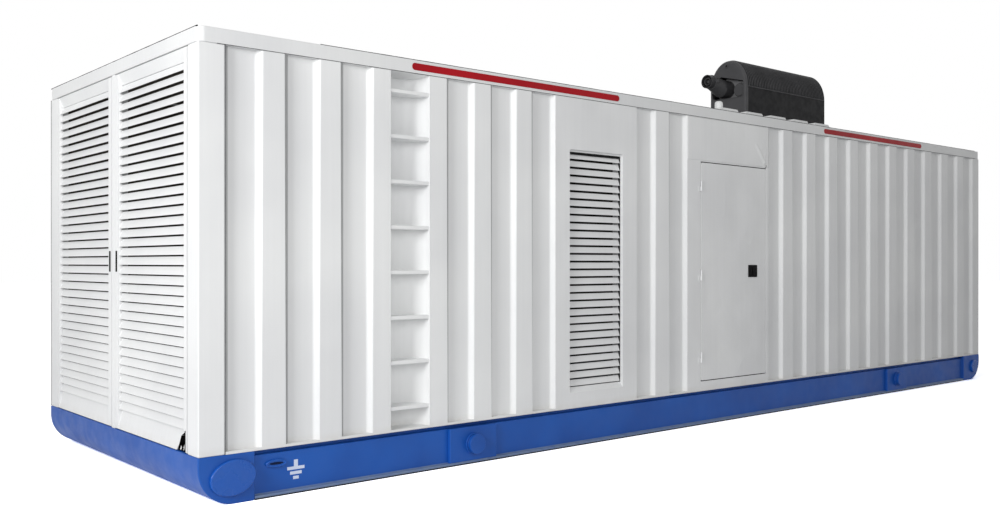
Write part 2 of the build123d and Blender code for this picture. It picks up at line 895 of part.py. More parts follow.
# Walls on the other side
back_1 = corrugated_wall(wall_1_start, louvre_panel_start, 0, 0)
back_2 = corrugated_wall(wall_3_start, wall_4_end, 0, 0)
write("back_walls", [back_1.mirror(Plane.XZ), back_2.mirror(Plane.XZ)])

# Personnel door
write("side_door_leaf", [door_leaf()])
write("side_door_latch", [door_latch()])
write("side_door_hinge_leaves", hinge_halves(1))
write("jamb_hinge_leaves", hinge_halves(-1))

# Louvred door end
right_frame = leaf_frame()
write("end_door_right_frame", [right_frame - tear()])
write("end_door_left_frame", [right_frame.mirror(Plane.XZ)])
write("end_door_right_louvre", [leaf_louvre()])
write("end_door_left_louvre", [leaf_louvre().mirror(Plane.XZ)])
write("end_door_right_handle", [leaf_handle()])
write("end_door_left_handle", [leaf_handle().mirror(Plane.XZ)])
write("end_door_pivots", pivot_pins())
mullion_x = (near_skin, near_skin + mullion_depth)
mullion_y = (-mullion_width / 2, mullion_width / 2)
write("end_mullion", [block(mullion_x, mullion_y, (base_height, wall_top))])
write("far_end_frame", [far_end_frame()])
write("far_end_louvres", far_end_louvres())

# Roof
side_rails, end_rails = top_rails()
write("top_side_rails", side_rails)
write("top_end_rails", end_rails)
write("roof_sheet", [roof_sheet()])
write("marker_strips", marker_strips())
write("roof_vent", [roof_vent()])

# Exhaust silencer
write("silencer_body", [silencer_body()])
write("silencer_front", [silencer_front()])
write("silencer_outlet", [silencer_outlet()])
write("silencer_stub", [silencer_stub()])
write("silencer_feet", silencer_feet())
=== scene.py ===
import json
import logging
import math
from dataclasses import dataclass
from enum import Enum
from typing import Callable, Iterable, Sequence

import bmesh
import bpy
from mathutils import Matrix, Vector
from mathutils.noise import noise


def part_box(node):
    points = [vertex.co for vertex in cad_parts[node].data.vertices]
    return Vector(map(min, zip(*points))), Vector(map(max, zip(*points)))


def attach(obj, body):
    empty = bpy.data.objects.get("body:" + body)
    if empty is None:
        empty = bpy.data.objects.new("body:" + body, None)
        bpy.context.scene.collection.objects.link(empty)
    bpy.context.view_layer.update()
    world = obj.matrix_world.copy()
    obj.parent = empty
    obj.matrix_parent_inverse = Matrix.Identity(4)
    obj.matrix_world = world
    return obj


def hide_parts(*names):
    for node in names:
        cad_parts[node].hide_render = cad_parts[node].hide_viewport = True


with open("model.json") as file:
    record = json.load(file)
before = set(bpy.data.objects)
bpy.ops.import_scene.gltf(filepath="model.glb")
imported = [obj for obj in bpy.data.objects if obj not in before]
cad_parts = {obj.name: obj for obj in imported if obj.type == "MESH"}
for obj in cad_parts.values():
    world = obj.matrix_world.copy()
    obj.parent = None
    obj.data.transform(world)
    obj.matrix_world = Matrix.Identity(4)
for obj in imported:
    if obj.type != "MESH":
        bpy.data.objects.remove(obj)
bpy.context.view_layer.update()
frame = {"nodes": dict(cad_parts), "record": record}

MM = 0.001
WALL_THICKNESS = 100 * MM
ROOF_THICKNESS = 40 * MM
LOG = logging.getLogger("generator_set")

Point = tuple[float, float, float]
Pair = tuple[float, float]
Pick = Callable[[Vector, Vector], bool]


class Body(Enum):
    """The moving bodies of the set."""

    ENCLOSURE = "enclosure"
    SIDE_DOOR = "side_door"
    END_DOOR_RIGHT = "end_door_right"
    END_DOOR_LEFT = "end_door_left"


class Slot(Enum):
    """The record's material slots."""

    WHITE = "white_paint"
    DOOR = "door_paint"
    BLUE = "base_blue"
    RED = "marker_red"
    PLASTIC = "black_plastic"
    SILENCER = "silencer_black"
    PLATE = "silencer_plate"
    DECK = "deck_steel"
    PIN = "pin_steel"


class Extra(Enum):
    """Finishes of single pieces, beside the slots' own."""

    OUTER = "sheet that is painted on both sides"
    # Its folds that face away from the lamps carry painted shade.
    CORRUGATED = "walls with a film on their sheltered folds"
    ROOF = "roof sheet with its lining further in"
    # Their dark band on the lowest edge is painted contact shadow.
    RAIL = "weathered rails of the base"
    BOSS = "bosses that slings have rubbed"
    NAVY = "blue paint in deep shade"
    CAP_RAIL = "greyer rails under the roof's edge"
    # Paler than the housing: dust, and painted highlight on the rib crests.
    RIBS = "dusty ribs of the silencer"
    WORN = "faded plate in the silencer's mouth"
    # Dark rubber seals, and painted shade in the side louvres' gaps, in the lifting eye's hole and along outline edges.
    SEAL_AND_SHADE = "rubber seals and dark mastic"
    SEALANT = "grey joint sealant"
    # Painted shade: dark plates in the hollow behind the torn skin.
    TEAR_SHADE = "hollow behind the torn skin"
    MARK = "painted earth mark"


class Socket(Enum):
    """The kinds of named input that a geometry tree has."""

    GEOMETRY = "NodeSocketGeometry"
    LENGTH = "NodeSocketFloat"
    COUNT = "NodeSocketInt"
    PLACE = "NodeSocketVector"
    MATERIAL = "NodeSocketMaterial"


def linear(code: str) -> tuple[float, float, float, float]:
    """Turns an sRGB hex value into linear colour.

    Args:
        code: Six hex digits after a hash mark.

    Returns:
        Linear red, green and blue, and full alpha.
    """
    channels = [int(code[i:i + 2], 16) / 255 for i in (1, 3, 5)]
    bright = [c / 12.92 if c <= 0.04045 else ((c + 0.055) / 1.055) ** 2.4 for c in channels]
    return bright[0], bright[1], bright[2], 1.0


def add(tree: bpy.types.NodeTree, kind: str, links: dict | None = None,
        values: dict | None = None, **settings: object) -> bpy.types.Node:
    """Adds one node with its settings, values and incoming links.

    Args:
        tree: The node tree to add to.
        kind: The node's type name.
        links: Output sockets by the name or number of the input they go to.
        values: Plain values by the name or number of their input.
        **settings: Attributes of the node itself, set first.

    Returns:
        The new node.
    """
    node = tree.nodes.new(kind)
    for name, value in settings.items():
        setattr(node, name, value)
    for key, value in (values or {}).items():
        node.inputs[key].default_value = value
    for key, source in (links or {}).items():
        tree.links.new(source, node.inputs[key])
    return node


class Paintwork:
    """A material being built: its node tree, its main shader and the place that its patterns read."""

    def __init__(self, name: str) -> None:
        """Starts a material with only its output and its main shader.

        Args:
            name: The finish's plain name.
        """
        self.material = bpy.data.materials.new(name)
        self.material.use_nodes = True
        self.tree = self.material.node_tree
        self.tree.nodes.clear()
        self.shader = add(self.tree, "ShaderNodeBsdfPrincipled")
        add(self.tree, "ShaderNodeOutputMaterial", {"Surface": self.shader.outputs[0]})
        self.place = add(self.tree, "ShaderNodeTexCoord").outputs["Object"]

    def along(self) -> Sequence[bpy.types.NodeSocket]:
        """The place along each axis."""
        return add(self.tree, "ShaderNodeSeparateXYZ", {0: self.place}).outputs

    def facing(self) -> Sequence[bpy.types.NodeSocket]:
        """How far the surface faces along each axis."""
        normal = add(self.tree, "ShaderNodeNewGeometry").outputs["Normal"]
        return add(self.tree, "ShaderNodeSeparateXYZ", {0: normal}).outputs

    def drift(self, patch_mm: float, low: float, high: float, detail: float = 3.0,
              stretch: Point = (1, 1, 1)) -> bpy.types.NodeSocket:
        """Soft random patches of one real size, spread between two values.

        Args:
            patch_mm: The size of one patch, in millimetres.
            low: The value in the darkest patches.
            high: The value in the brightest patches.
            detail: How many finer layers the pattern has.
            stretch: How much denser the pattern is along each axis.

        Returns:
            A socket with the spread value.
        """
        scaled = add(self.tree, "ShaderNodeMapping", {"Vector": self.place}, {"Scale": stretch})
        patches = add(self.tree, "ShaderNodeTexNoise", {"Vector": scaled.outputs[0]},
                      {"Scale": 1 / (patch_mm * MM), "Detail": detail})
        return add(self.tree, "ShaderNodeMapRange", {"Value": patches.outputs[0]},
                   {"From Min": 0.35, "From Max": 0.65, "To Min": low, "To Max": high}).outputs[0]

    def tones(self, patch_mm: float, colour: str, shade: str, most: float = 1.0) -> bpy.types.NodeSocket:
        """Two close tones that drift into each other.

        Args:
            patch_mm: The size of one patch, in millimetres.
            colour: The first tone.
            shade: The second tone.
            most: The most of the second tone in any patch.

        Returns:
            The colour.
        """
        return add(self.tree, "ShaderNodeMix", {0: self.drift(patch_mm, 0.0, most)},
                   {6: linear(colour), 7: linear(shade)}, data_type="RGBA").outputs[2]

    def soiled(self, base: bpy.types.NodeSocket, amount: bpy.types.NodeSocket, patch_mm: float,
               least: float, dirt: str) -> bpy.types.NodeSocket:
        """Dirt over a colour, in patches.

        Args:
            base: The clean colour.
            amount: How much dirt there is.
            patch_mm: The size of one patch, in millimetres.
            least: The share of that amount in the cleanest patches.
            dirt: The dirt's colour.

        Returns:
            The colour.
        """
        cover = add(self.tree, "ShaderNodeMath", {0: amount, 1: self.drift(patch_mm, least, 1.0)},
                    operation="MULTIPLY")
        return add(self.tree, "ShaderNodeMix", {0: cover.outputs[0], 6: base}, {7: linear(dirt)},
                   data_type="RGBA").outputs[2]

    def relief(self, patch_mm: float, depth_mm: float, detail: float = 2.0, stretch: Point = (1, 1, 1),
               under: bpy.types.NodeSocket | None = None) -> bpy.types.NodeSocket:
        """Low waves in the surface.

        Args:
            patch_mm: The size of one wave, in millimetres.
            depth_mm: How deep the waves are.
            detail: How many finer layers they have.
            stretch: How much denser they are along each axis.
            under: Broader waves that these lie on.

        Returns:
            The surface's normal.
        """
        links = {"Height": self.drift(patch_mm, 0.0, 1.0, detail, stretch)}
        if under is not None:
            links["Normal"] = under
        return add(self.tree, "ShaderNodeBump", links, {"Distance": depth_mm * MM}).outputs[0]

    def done(self, **inputs: object) -> bpy.types.Material:
        """Links or sets the main shader's inputs.

        Args:
            **inputs: A socket or a plain value for each input, with underscores for its name's spaces.

        Returns:
            The material.
        """
        for label, source in inputs.items():
            socket = self.shader.inputs[label.replace("_", " ")]
            if isinstance(source, bpy.types.NodeSocket):
                self.tree.links.new(source, socket)
            else:
                socket.default_value = source
        return self.material


@dataclass(frozen=True)
class PowderCoat:
    """Polyester powder coat baked on folded sheet steel.

    It gives a satin, slightly orange-peeled white with long soft buckles in the flat stretches,
    faint upright wash marks from rain, and a little road dust low down. Where it is lined, the
    side towards the room shows grey-brown glass cloth over sound-absorbing wool.
    """

    name: str
    colour: str = "#EBECEC"
    shade: str = "#E1E2E3"
    dust: str = "#CFC9BF"
    # The colour of the painted shade on the folds that face away from the lamps.
    fold_shade_colour: str = "#4A4B4D"
    lining: str = "#4E463F"
    lined: bool = True
    roughness: float = 0.42
    lining_roughness: float = 0.95
    tone_mm: float = 900.0
    sheen_mm: float = 120.0
    dust_mm: float = 60.0
    peel_mm: float = 14.0          # drawn coarser than the real 2 mm, so that it shows
    peel_depth_mm: float = 0.03
    buckle_mm: float = 620.0
    buckle_depth_mm: float = 1.6
    streak_mm: float = 24.0
    streak_darkest: float = 0.982
    streak_stretch: Point = (1, 1, 0.02)
    dust_most: float = 0.35
    dust_height: float = 0.05
    # How far painted shade darkens the folds that face away from the lamps.
    fold_painted_shade: float = 0.0
    lining_inset: float = 0.0

    def material(self) -> bpy.types.Material:
        """Builds the node tree.

        Returns:
            The material.
        """
        work = Paintwork(self.name)
        washed = work.drift(self.streak_mm, self.streak_darkest, 1.0, stretch=self.streak_stretch)
        streaked = add(work.tree, "ShaderNodeMix",
                       {6: work.tones(self.tone_mm, self.colour, self.shade), 7: washed},
                       {0: 1.0}, data_type="RGBA", blend_type="MULTIPLY")
        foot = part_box("corner_posts")[0].z
        low = add(work.tree, "ShaderNodeMapRange", {"Value": work.along()[2]},
                  {"From Min": foot, "From Max": foot + self.dust_height, "To Min": self.dust_most, "To Max": 0.0})
        dusted = work.soiled(streaked.outputs[2], low.outputs[0], self.dust_mm, 0.3, self.dust)
        # Painted shade: the sides of the folds that face along +X, away from the lamps, are darkened towards a dark
        # grey where their shade falls.
        shaded_folds = add(work.tree, "ShaderNodeMapRange", {"Value": work.facing()[0]},
                  {"From Min": 0.05, "From Max": 0.35, "To Min": 0.0, "To Max": self.fold_painted_shade})
        tone = add(work.tree, "ShaderNodeMix", {0: shaded_folds.outputs[0], 6: dusted}, {7: linear(self.fold_shade_colour)},
                   data_type="RGBA").outputs[2]
        satin = work.drift(self.sheen_mm, self.roughness - 0.04, self.roughness + 0.05)
        if self.lined:
            inside = self.room_side(work)
            tone = add(work.tree, "ShaderNodeMix", {0: inside, 6: tone}, {7: linear(self.lining)},
                       data_type="RGBA").outputs[2]
            satin = add(work.tree, "ShaderNodeMix", {0: inside, 2: satin}, {3: self.lining_roughness}).outputs[0]
        buckles = work.relief(self.buckle_mm, self.buckle_depth_mm, 1.0)
        return work.done(Base_Color=tone, Roughness=satin,
                         Normal=work.relief(self.peel_mm, self.peel_depth_mm, 1.0, under=buckles))

    def room_side(self, work: Paintwork) -> bpy.types.NodeSocket:
        """One inside the room, where the walls and the roof are lined, and nought outside.

        Args:
            work: The material that is being built.

        Returns:
            The mask.
        """
        skirt, past_deck = 2 * MM, 300 * MM
        reach = (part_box("floor_deck")[1].x + past_deck,
                 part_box("louvre_panels")[1].y - WALL_THICKNESS + skirt - self.lining_inset,
                 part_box("top_side_rails")[1].z - ROOF_THICKNESS + skirt)
        within = []
        for along, limit in zip(work.along(), reach):
            size = add(work.tree, "ShaderNodeMath", {0: along}, operation="ABSOLUTE")
            within.append(add(work.tree, "ShaderNodeMath", {0: size.outputs[0]}, {1: limit},
                              operation="LESS_THAN").outputs[0])
        flat = add(work.tree, "ShaderNodeMath", {0: within[0], 1: within[1]}, operation="MULTIPLY")
        return add(work.tree, "ShaderNodeMath", {0: flat.outputs[0], 1: within[2]}, operation="MULTIPLY").outputs[0]


@dataclass(frozen=True)
class SteelEnamel:
    """Two-pack enamel sprayed on welded steel.

    It gives a soft-gloss coloured coat with slow drifts in tone, faint brush and spray texture,
    and dust that settles on the lowest edge, with painted shade under it: a dark band that stands
    for the contact shadow along the floor.
    """

    name: str
    colour: str
    shade: str
    dust: str = "#8F9AA8"
    contact_shadow_colour: str = "#08090C"
    roughness: float = 0.42
    ior: float = 1.4
    foot_dust: float = 0.0
    foot_height: float = 0.024
    # Painted contact shadow: how dark the lowest edge is banded, and up to what height.
    contact_shadow: float = 0.0
    contact_shadow_height: float = 0.006
    tone_mm: float = 420.0
    sheen_mm: float = 90.0
    dust_mm: float = 45.0
    lap_mm: float = 260.0
    lap_depth_mm: float = 0.5
    spray_mm: float = 9.0
    spray_depth_mm: float = 0.03

    def material(self) -> bpy.types.Material:
        """Builds the node tree.

        Returns:
            The material.
        """
        work = Paintwork(self.name)
        # Dust low on the foot, and painted contact shadow at the very bottom.
        low, contact_shaded = (add(work.tree, "ShaderNodeMapRange", {"Value": work.along()[2]},
                        {"From Min": height, "From Max": height + fade * MM, "To Min": most, "To Max": 0.0})
                    for height, fade, most in ((self.foot_height, 6, self.foot_dust), (self.contact_shadow_height, 3, self.contact_shadow)))
        dusted = work.soiled(work.tones(self.tone_mm, self.colour, self.shade), low.outputs[0], self.dust_mm, 0.75,
                             self.dust)
        tone = add(work.tree, "ShaderNodeMix", {0: contact_shaded.outputs[0], 6: dusted}, {7: linear(self.contact_shadow_colour)},
                   data_type="RGBA")
        laps = work.relief(self.lap_mm, self.lap_depth_mm)
        return work.done(Base_Color=tone.outputs[2], IOR=self.ior,
                         Normal=work.relief(self.spray_mm, self.spray_depth_mm, under=laps),
                         Roughness=work.drift(self.sheen_mm, self.roughness - 0.05, self.roughness + 0.07))


@dataclass(frozen=True)
class HeatPaint:
    """Silicone heat-resisting paint on the exhaust's rolled steel.

    It gives a soft charcoal with a dry, finely grained surface and pale dust on what faces up.
    """

    name: str
    colour: str
    shade: str
    dust: str = "#55534F"
    roughness: float = 0.55
    ior: float = 1.36
    settled: float = 0.16
    tone_mm: float = 240.0
    sheen_mm: float = 50.0
    dust_mm: float = 30.0
    grain_mm: float = 5.0
    grain_depth_mm: float = 0.12

    def material(self) -> bpy.types.Material:
        """Builds the node tree.

        Returns:
            The material.
        """
        work = Paintwork(self.name)
        upward = add(work.tree, "ShaderNodeMapRange", {"Value": work.facing()[2]},
                     {"From Min": 0.3, "From Max": 1.0, "To Min": 0.0, "To Max": self.settled})
        dusted = work.soiled(work.tones(self.tone_mm, self.colour, self.shade), upward.outputs[0], self.dust_mm, 0.4,
                             self.dust)
        return work.done(Base_Color=dusted, IOR=self.ior, Normal=work.relief(self.grain_mm, self.grain_depth_mm),
                         Roughness=work.drift(self.sheen_mm, self.roughness - 0.06, self.roughness + 0.08))


@dataclass(frozen=True)
class MouldedPlastic:
    """Glass-filled nylon, moulded with a fine spark-eroded grain that keeps it matt."""

    name: str
    colour: str = "#09090A"
    roughness: float = 0.6
    ior: float = 1.15
    sheen_mm: float = 18.0
    grain_mm: float = 2.0
    grain_depth_mm: float = 0.05

    def material(self) -> bpy.types.Material:
        """Builds the node tree.

        Returns:
            The material.
        """
        work = Paintwork(self.name)
        return work.done(Base_Color=linear(self.colour), IOR=self.ior,
                         Normal=work.relief(self.grain_mm, self.grain_depth_mm, 3.0),
                         Roughness=work.drift(self.sheen_mm, self.roughness - 0.05, self.roughness + 0.05))


@dataclass(frozen=True)
class PlainSteel:
    """Turned or drawn mild steel, bare, with fine rings and a thin brown bloom."""

    name: str
    colour: str = "#9B9A97"
    bloom: str = "#6E6258"
    roughness: float = 0.38
    bloom_mm: float = 22.0
    bloom_most: float = 0.55
    sheen_mm: float = 12.0
    ring_mm: float = 3.0
    ring_depth_mm: float = 0.04
    ring_stretch: Point = (0.2, 0.2, 3)

    def material(self) -> bpy.types.Material:
        """Builds the node tree.

        Returns:
            The material.
        """
        work = Paintwork(self.name)
        return work.done(Base_Color=work.tones(self.bloom_mm, self.colour, self.bloom, self.bloom_most),
                         Roughness=work.drift(self.sheen_mm, self.roughness - 0.08, self.roughness + 0.12),
                         Metallic=1.0, Normal=work.relief(self.ring_mm, self.ring_depth_mm, 3.0, self.ring_stretch))


@dataclass(frozen=True)
class DullRubber:
    """Extruded EPDM seal or gun-laid sealant: dull and dark, it swallows the light in a gap."""

    name: str
    colour: str = "#121213"
    shade: str = "#1D1D1E"
    roughness: float = 0.8
    ior: float = 1.2
    tone_mm: float = 14.0

    def material(self) -> bpy.types.Material:
        """Builds the node tree.

        Returns:
            The material.
        """
        work = Paintwork(self.name)
        return work.done(Base_Color=work.tones(self.tone_mm, self.colour, self.shade), IOR=self.ior,
                         Roughness=self.roughness)


FINISHES = {
    Slot.WHITE: PowderCoat("white_powder_coat"),
    Slot.DOOR: PowderCoat("white_powder_coat_flat", roughness=0.34, buckle_mm=430, buckle_depth_mm=9.0),
    Slot.BLUE: SteelEnamel("blue_enamel", "#1555AC", "#114C9F"),
    Slot.RED: SteelEnamel("red_enamel", "#AC0F1D", "#9C0C19", roughness=0.35, ior=1.25, lap_depth_mm=0.1),
    Slot.PLASTIC: MouldedPlastic("black_nylon"),
    Slot.SILENCER: HeatPaint("heat_paint_black", "#0F0F12", "#0A0A0D", roughness=0.5, ior=1.24, settled=0.08),
    Slot.PLATE: HeatPaint("heat_paint_grey", "#505052", "#48484A"),
    Slot.DECK: SteelEnamel("grey_deck_paint", "#6B6E71", "#616467", roughness=0.6),
    Slot.PIN: PlainSteel("plain_steel"),
    Extra.OUTER: PowderCoat("white_powder_coat_unlined", lined=False),
    Extra.CORRUGATED: PowderCoat("white_powder_coat_corrugated", fold_painted_shade=0.55),
    Extra.ROOF: PowderCoat("white_powder_coat_roof", lining_inset=0.07),
    # The rails' dark lowest band is painted contact shadow.
    Extra.RAIL: SteelEnamel("blue_enamel_dust_and_painted_contact_shadow", "#1555AC", "#114C9F", dust="#76869B", foot_dust=0.9, contact_shadow=1.0,
                            contact_shadow_height=0.008),
    Extra.BOSS: SteelEnamel("blue_enamel_rubbed", "#1557B0", "#124FA6", roughness=0.28, ior=1.42),
    Extra.NAVY: SteelEnamel("blue_enamel_in_shade", "#081637", "#081637", ior=1.2),
    Extra.CAP_RAIL: PowderCoat("white_powder_coat_rail", colour="#E4E5E5", shade="#DCDDDE"),
    # Paler than the housing: dust, and painted highlight on the rib crests.
    Extra.RIBS: HeatPaint("heat_paint_dust_and_painted_highlight", "#444446", "#38383A", roughness=0.42, settled=0.15),
    Extra.WORN: HeatPaint("heat_paint_worn", "#8C8C8E", "#7C7C7E"),
    # Serves for real seals and for painted shade in gaps, holes and along outline edges.
    Extra.SEAL_AND_SHADE: DullRubber("seal_rubber_and_painted_shade"),
    Extra.SEALANT: DullRubber("grey_joint_sealant", "#5A5B5D", "#4B4C4E"),
    Extra.TEAR_SHADE: DullRubber("torn_hollow_painted_shade", "#08080A", "#181718", ior=1.1),
    Extra.MARK: SteelEnamel("white_marking_paint", "#D3DBEE", "#C6D0E6", roughness=0.45),
}
MATERIALS = {key: finish.material() for key, finish in FINISHES.items()}


def sized_tree(name: str, **sockets: Socket) -> tuple[bpy.types.NodeTree, bpy.types.Node]:
    """A geometry tree with named inputs for its sizes, and for the shape and material it works on.

    Args:
        name: The tree's plain name.
        **sockets: The kind of each named input.

    Returns:
        The tree and the node that gives its inputs.
    """
    tree = bpy.data.node_groups.new(name, "GeometryNodeTree")
    for label, kind in {"Shape": Socket.GEOMETRY, **sockets, "Finish": Socket.MATERIAL}.items():
        tree.interface.new_socket(label, in_out="INPUT", socket_type=kind.value)
    tree.interface.new_socket("Result", in_out="OUTPUT", socket_type=Socket.GEOMETRY.value)
    return tree, add(tree, "NodeGroupInput")


def close_tree(tree: bpy.types.NodeTree, given: bpy.types.Node, result: bpy.types.NodeSocket) -> None:
    """Ends a geometry tree in real faces with their material.

    Args:
        tree: The tree.
        given: The node that gives its inputs.
        result: The geometry to end with.
    """
    real = add(tree, "GeometryNodeRealizeInstances", {0: result})
    dressed = add(tree, "GeometryNodeSetMaterial", {"Geometry": real.outputs[0], "Material": given.outputs["Finish"]})
    add(tree, "NodeGroupOutput", {0: dressed.outputs[0]})


def row_tree() -> bpy.types.NodeTree:
    """Copies of one shape at even steps, each leaning a little its own way.

    Returns:
        The geometry tree.
    """
    tree, given = sized_tree("row_of_one_shape", Start=Socket.PLACE, Step=Socket.PLACE, Count=Socket.COUNT,
                             Lean=Socket.PLACE, Seed=Socket.COUNT)
    line = add(tree, "GeometryNodeMeshLine",
               {"Count": given.outputs["Count"], "Start Location": given.outputs["Start"],
                "Offset": given.outputs["Step"]}, mode="OFFSET")
    back = add(tree, "ShaderNodeVectorMath", {0: given.outputs["Lean"]}, {1: (-1, -1, -1)}, operation="MULTIPLY")
    lean = add(tree, "FunctionNodeRandomValue",
               {0: back.outputs[0], 1: given.outputs["Lean"], "Seed": given.outputs["Seed"]},
               data_type="FLOAT_VECTOR")
    row = add(tree, "GeometryNodeInstanceOnPoints",
              {"Points": line.outputs[0], "Instance": given.outputs["Shape"], "Rotation": lean.outputs[0]})
    close_tree(tree, given, row.outputs[0])
    return tree


def bead_tree() -> bpy.types.NodeTree:
    """A round bead laid along a path, as sealant or a weld, with a ripple in its thickness.

    Returns:
        The geometry tree.
    """
    tree, given = sized_tree("bead_on_path", Radius=Socket.LENGTH, Spacing=Socket.LENGTH,
                             Ripple=Socket.LENGTH, Seed=Socket.LENGTH)
    path = add(tree, "GeometryNodeMeshToCurve", {"Mesh": given.outputs["Shape"]})
    even = add(tree, "GeometryNodeResampleCurve", {"Curve": path.outputs[0], "Length": given.outputs["Spacing"]},
               mode="LENGTH")
    ring = add(tree, "GeometryNodeCurvePrimitiveCircle", {"Radius": given.outputs["Radius"]}, {"Resolution": 8},
               mode="RADIUS")
    waves = add(tree, "ShaderNodeTexNoise", {"W": given.outputs["Seed"]}, {"Scale": 60.0}, noise_dimensions="4D")
    swing = add(tree, "ShaderNodeMapRange", {"Value": waves.outputs[0]},
                {"From Min": 0.3, "From Max": 0.7, "To Min": -1.0, "To Max": 1.0})
    scale = add(tree, "ShaderNodeMath", {0: swing.outputs[0], 1: given.outputs["Ripple"]}, {2: 1.0},
                operation="MULTIPLY_ADD")
    bead = add(tree, "GeometryNodeCurveToMesh",
               {"Curve": even.outputs[0], "Profile Curve": ring.outputs[0], "Scale": scale.outputs[0]},
               {"Fill Caps": True})
    close_tree(tree, given, bead.outputs[0])
    return tree


ROW = row_tree()
BEAD = bead_tree()


def any_edge(_middle: Vector, _direction: Vector) -> bool:
    """Picks every edge."""
    return True


@dataclass(frozen=True)
class Rounding:
    """How the edges that a test picks are rounded."""

    width_mm: float
    steps: int
    picks: Pick = any_edge
    sharp_degrees: float = 28.0

    def apply(self, mesh: bmesh.types.BMesh) -> bmesh.types.BMesh:
        """Rounds the picked edges of a mesh that are sharp.

        Args:
            mesh: The mesh, open for edits.

        Returns:
            The same mesh.
        """
        edges = []
        for edge in mesh.edges:
            if len(edge.link_faces) == 2 and edge.calc_face_angle() > math.radians(self.sharp_degrees):
                first, second = (vert.co for vert in edge.verts)
                if self.picks((first + second) / 2, (second - first).normalized()):
                    edges.append(edge)
        if edges:
            bmesh.ops.bevel(mesh, geom=edges, offset=self.width_mm * MM, segments=self.steps,
                            profile=0.5, affect="EDGES", clamp_overlap=True)
        return mesh


def smooth_shaded(piece: bpy.types.Object) -> bpy.types.Object:
    """Shades a piece smooth, with its large flat faces kept flat.

    Args:
        piece: The piece.

    Returns:
        The same piece.
    """
    piece.data.shade_smooth()
    piece.modifiers.new("weighted_normals", "WEIGHTED_NORMAL").keep_sharp = False
    return piece


def linked(name: str, mesh: bmesh.types.BMesh) -> bpy.types.Object:
    """A new object at the origin with this mesh.

    Args:
        name: The piece's plain name.
        mesh: Its mesh, still open for edits.

    Returns:
        The object, linked to the scene.
    """
    data = bpy.data.meshes.new(name)
    mesh.to_mesh(data)
    mesh.free()
    piece = bpy.data.objects.new(name, data)
    bpy.context.scene.collection.objects.link(piece)
    return piece


def baked(piece: bpy.types.Object) -> bpy.types.Object:
    """Gives a piece the plain result of its modifiers as its mesh, and no modifiers.

    Args:
        piece: The piece, with its modifiers set.

    Returns:
        The same piece.
    """
    bpy.context.view_layer.update()
    graph = bpy.context.evaluated_depsgraph_get()
    result = bpy.data.meshes.new_from_object(piece.evaluated_get(graph))
    piece.modifiers.clear()
    piece.data = result
    return piece


def grown(name: str, shape: bmesh.types.BMesh, tree: bpy.types.NodeTree, coat: Slot | Extra,
          **sizes: object) -> bpy.types.Object:
    """Runs a geometry tree over a start shape and keeps the result as a plain mesh.

    Args:
        name: The piece's plain name.
        shape: The shape or the path to start from.
        tree: The geometry tree.
        coat: The finish that it sets.
        **sizes: Its other inputs, by name.

    Returns:
        The new object.
    """
    piece = linked(name, shape)
    modifier = piece.modifiers.new(tree.name, "NODES")
    modifier.node_group = tree
    given = {**sizes, "Finish": MATERIALS[coat]}
    for socket in tree.interface.items_tree:
        if socket.in_out == "INPUT" and socket.name in given:
            modifier[socket.identifier] = given[socket.name]
    return baked(piece)


def beaded(path: bmesh.types.BMesh, coat: Slot | Extra, radius_mm: float, spacing_mm: float, ripple: float,
           seed: float) -> bpy.types.Object:
    """One round bead along a path.

    Args:
        path: The path.
        coat: The bead's finish.
        radius_mm: Half its thickness.
        spacing_mm: The length of one of its steps.
        ripple: How much its thickness varies, as a share.
        seed: The seed of its ripple.

    Returns:
        The bead.
    """
    return grown("bead", path, BEAD, coat, Radius=radius_mm * MM, Spacing=spacing_mm * MM, Ripple=ripple,
                 Seed=float(seed))


def joined(name: str, pieces: Sequence[bpy.types.Object]) -> bpy.types.Object:
    """One object that holds the meshes of several.

    Args:
        name: The new piece's name.
        pieces: The objects, which go once their meshes are taken.

    Returns:
        The new object.
    """
    mesh = bmesh.new()
    for piece in pieces:
        mesh.from_mesh(piece.data)
        bpy.data.objects.remove(piece)
    return linked(name, mesh)


def joined_meshes(name: str, meshes: Iterable[bmesh.types.BMesh]) -> bpy.types.Object:
    """One object that holds several meshes that are still open for edits."""
    return joined(name, [linked("part", mesh) for mesh in meshes])


def path_of(*points: Point | Vector, closed: bool = False) -> bmesh.types.BMesh:
    """A chain of edges through some points.

    Args:
        *points: The points in order.
        closed: Whether the last joins the first.

    Returns:
        The open mesh.
    """
    mesh = bmesh.new()
    verts = [mesh.verts.new(point) for point in points]
    for first, second in zip(verts, verts[1:] + (verts[:1] if closed else [])):
        mesh.edges.new((first, second))
    return mesh


def lofted(outlines: Sequence[Sequence[Point | Vector]], ring: bool = False) -> bmesh.types.BMesh:
    """A closed shape through outlines with as many corners each.

    Args:
        outlines: The outlines in order.
        ring: Whether the last joins the first, where otherwise both are closed by a face.

    Returns:
        The open mesh, its faces outward.
    """
    mesh = bmesh.new()
    loops = [[mesh.verts.new(point) for point in outline] for outline in outlines]
    if not ring:
        mesh.faces.new(loops[0])
        mesh.faces.new(reversed(loops[-1]))
    for loop, other in zip(loops, loops[1:] + (loops[:1] if ring else [])):
        for here in range(len(loop)):
            after = (here + 1) % len(loop)
            mesh.faces.new((loop[here], loop[after], other[after], other[here]))
    if ring:
        bmesh.ops.remove_doubles(mesh, verts=mesh.verts, dist=0.01 * MM)
    bmesh.ops.recalc_face_normals(mesh, faces=mesh.faces)
    return mesh


def swept(outline: Sequence[Vector], travel: Vector) -> bmesh.types.BMesh:
    """A closed bar with one outline over a straight run."""
    return lofted([outline, [point + travel for point in outline]])


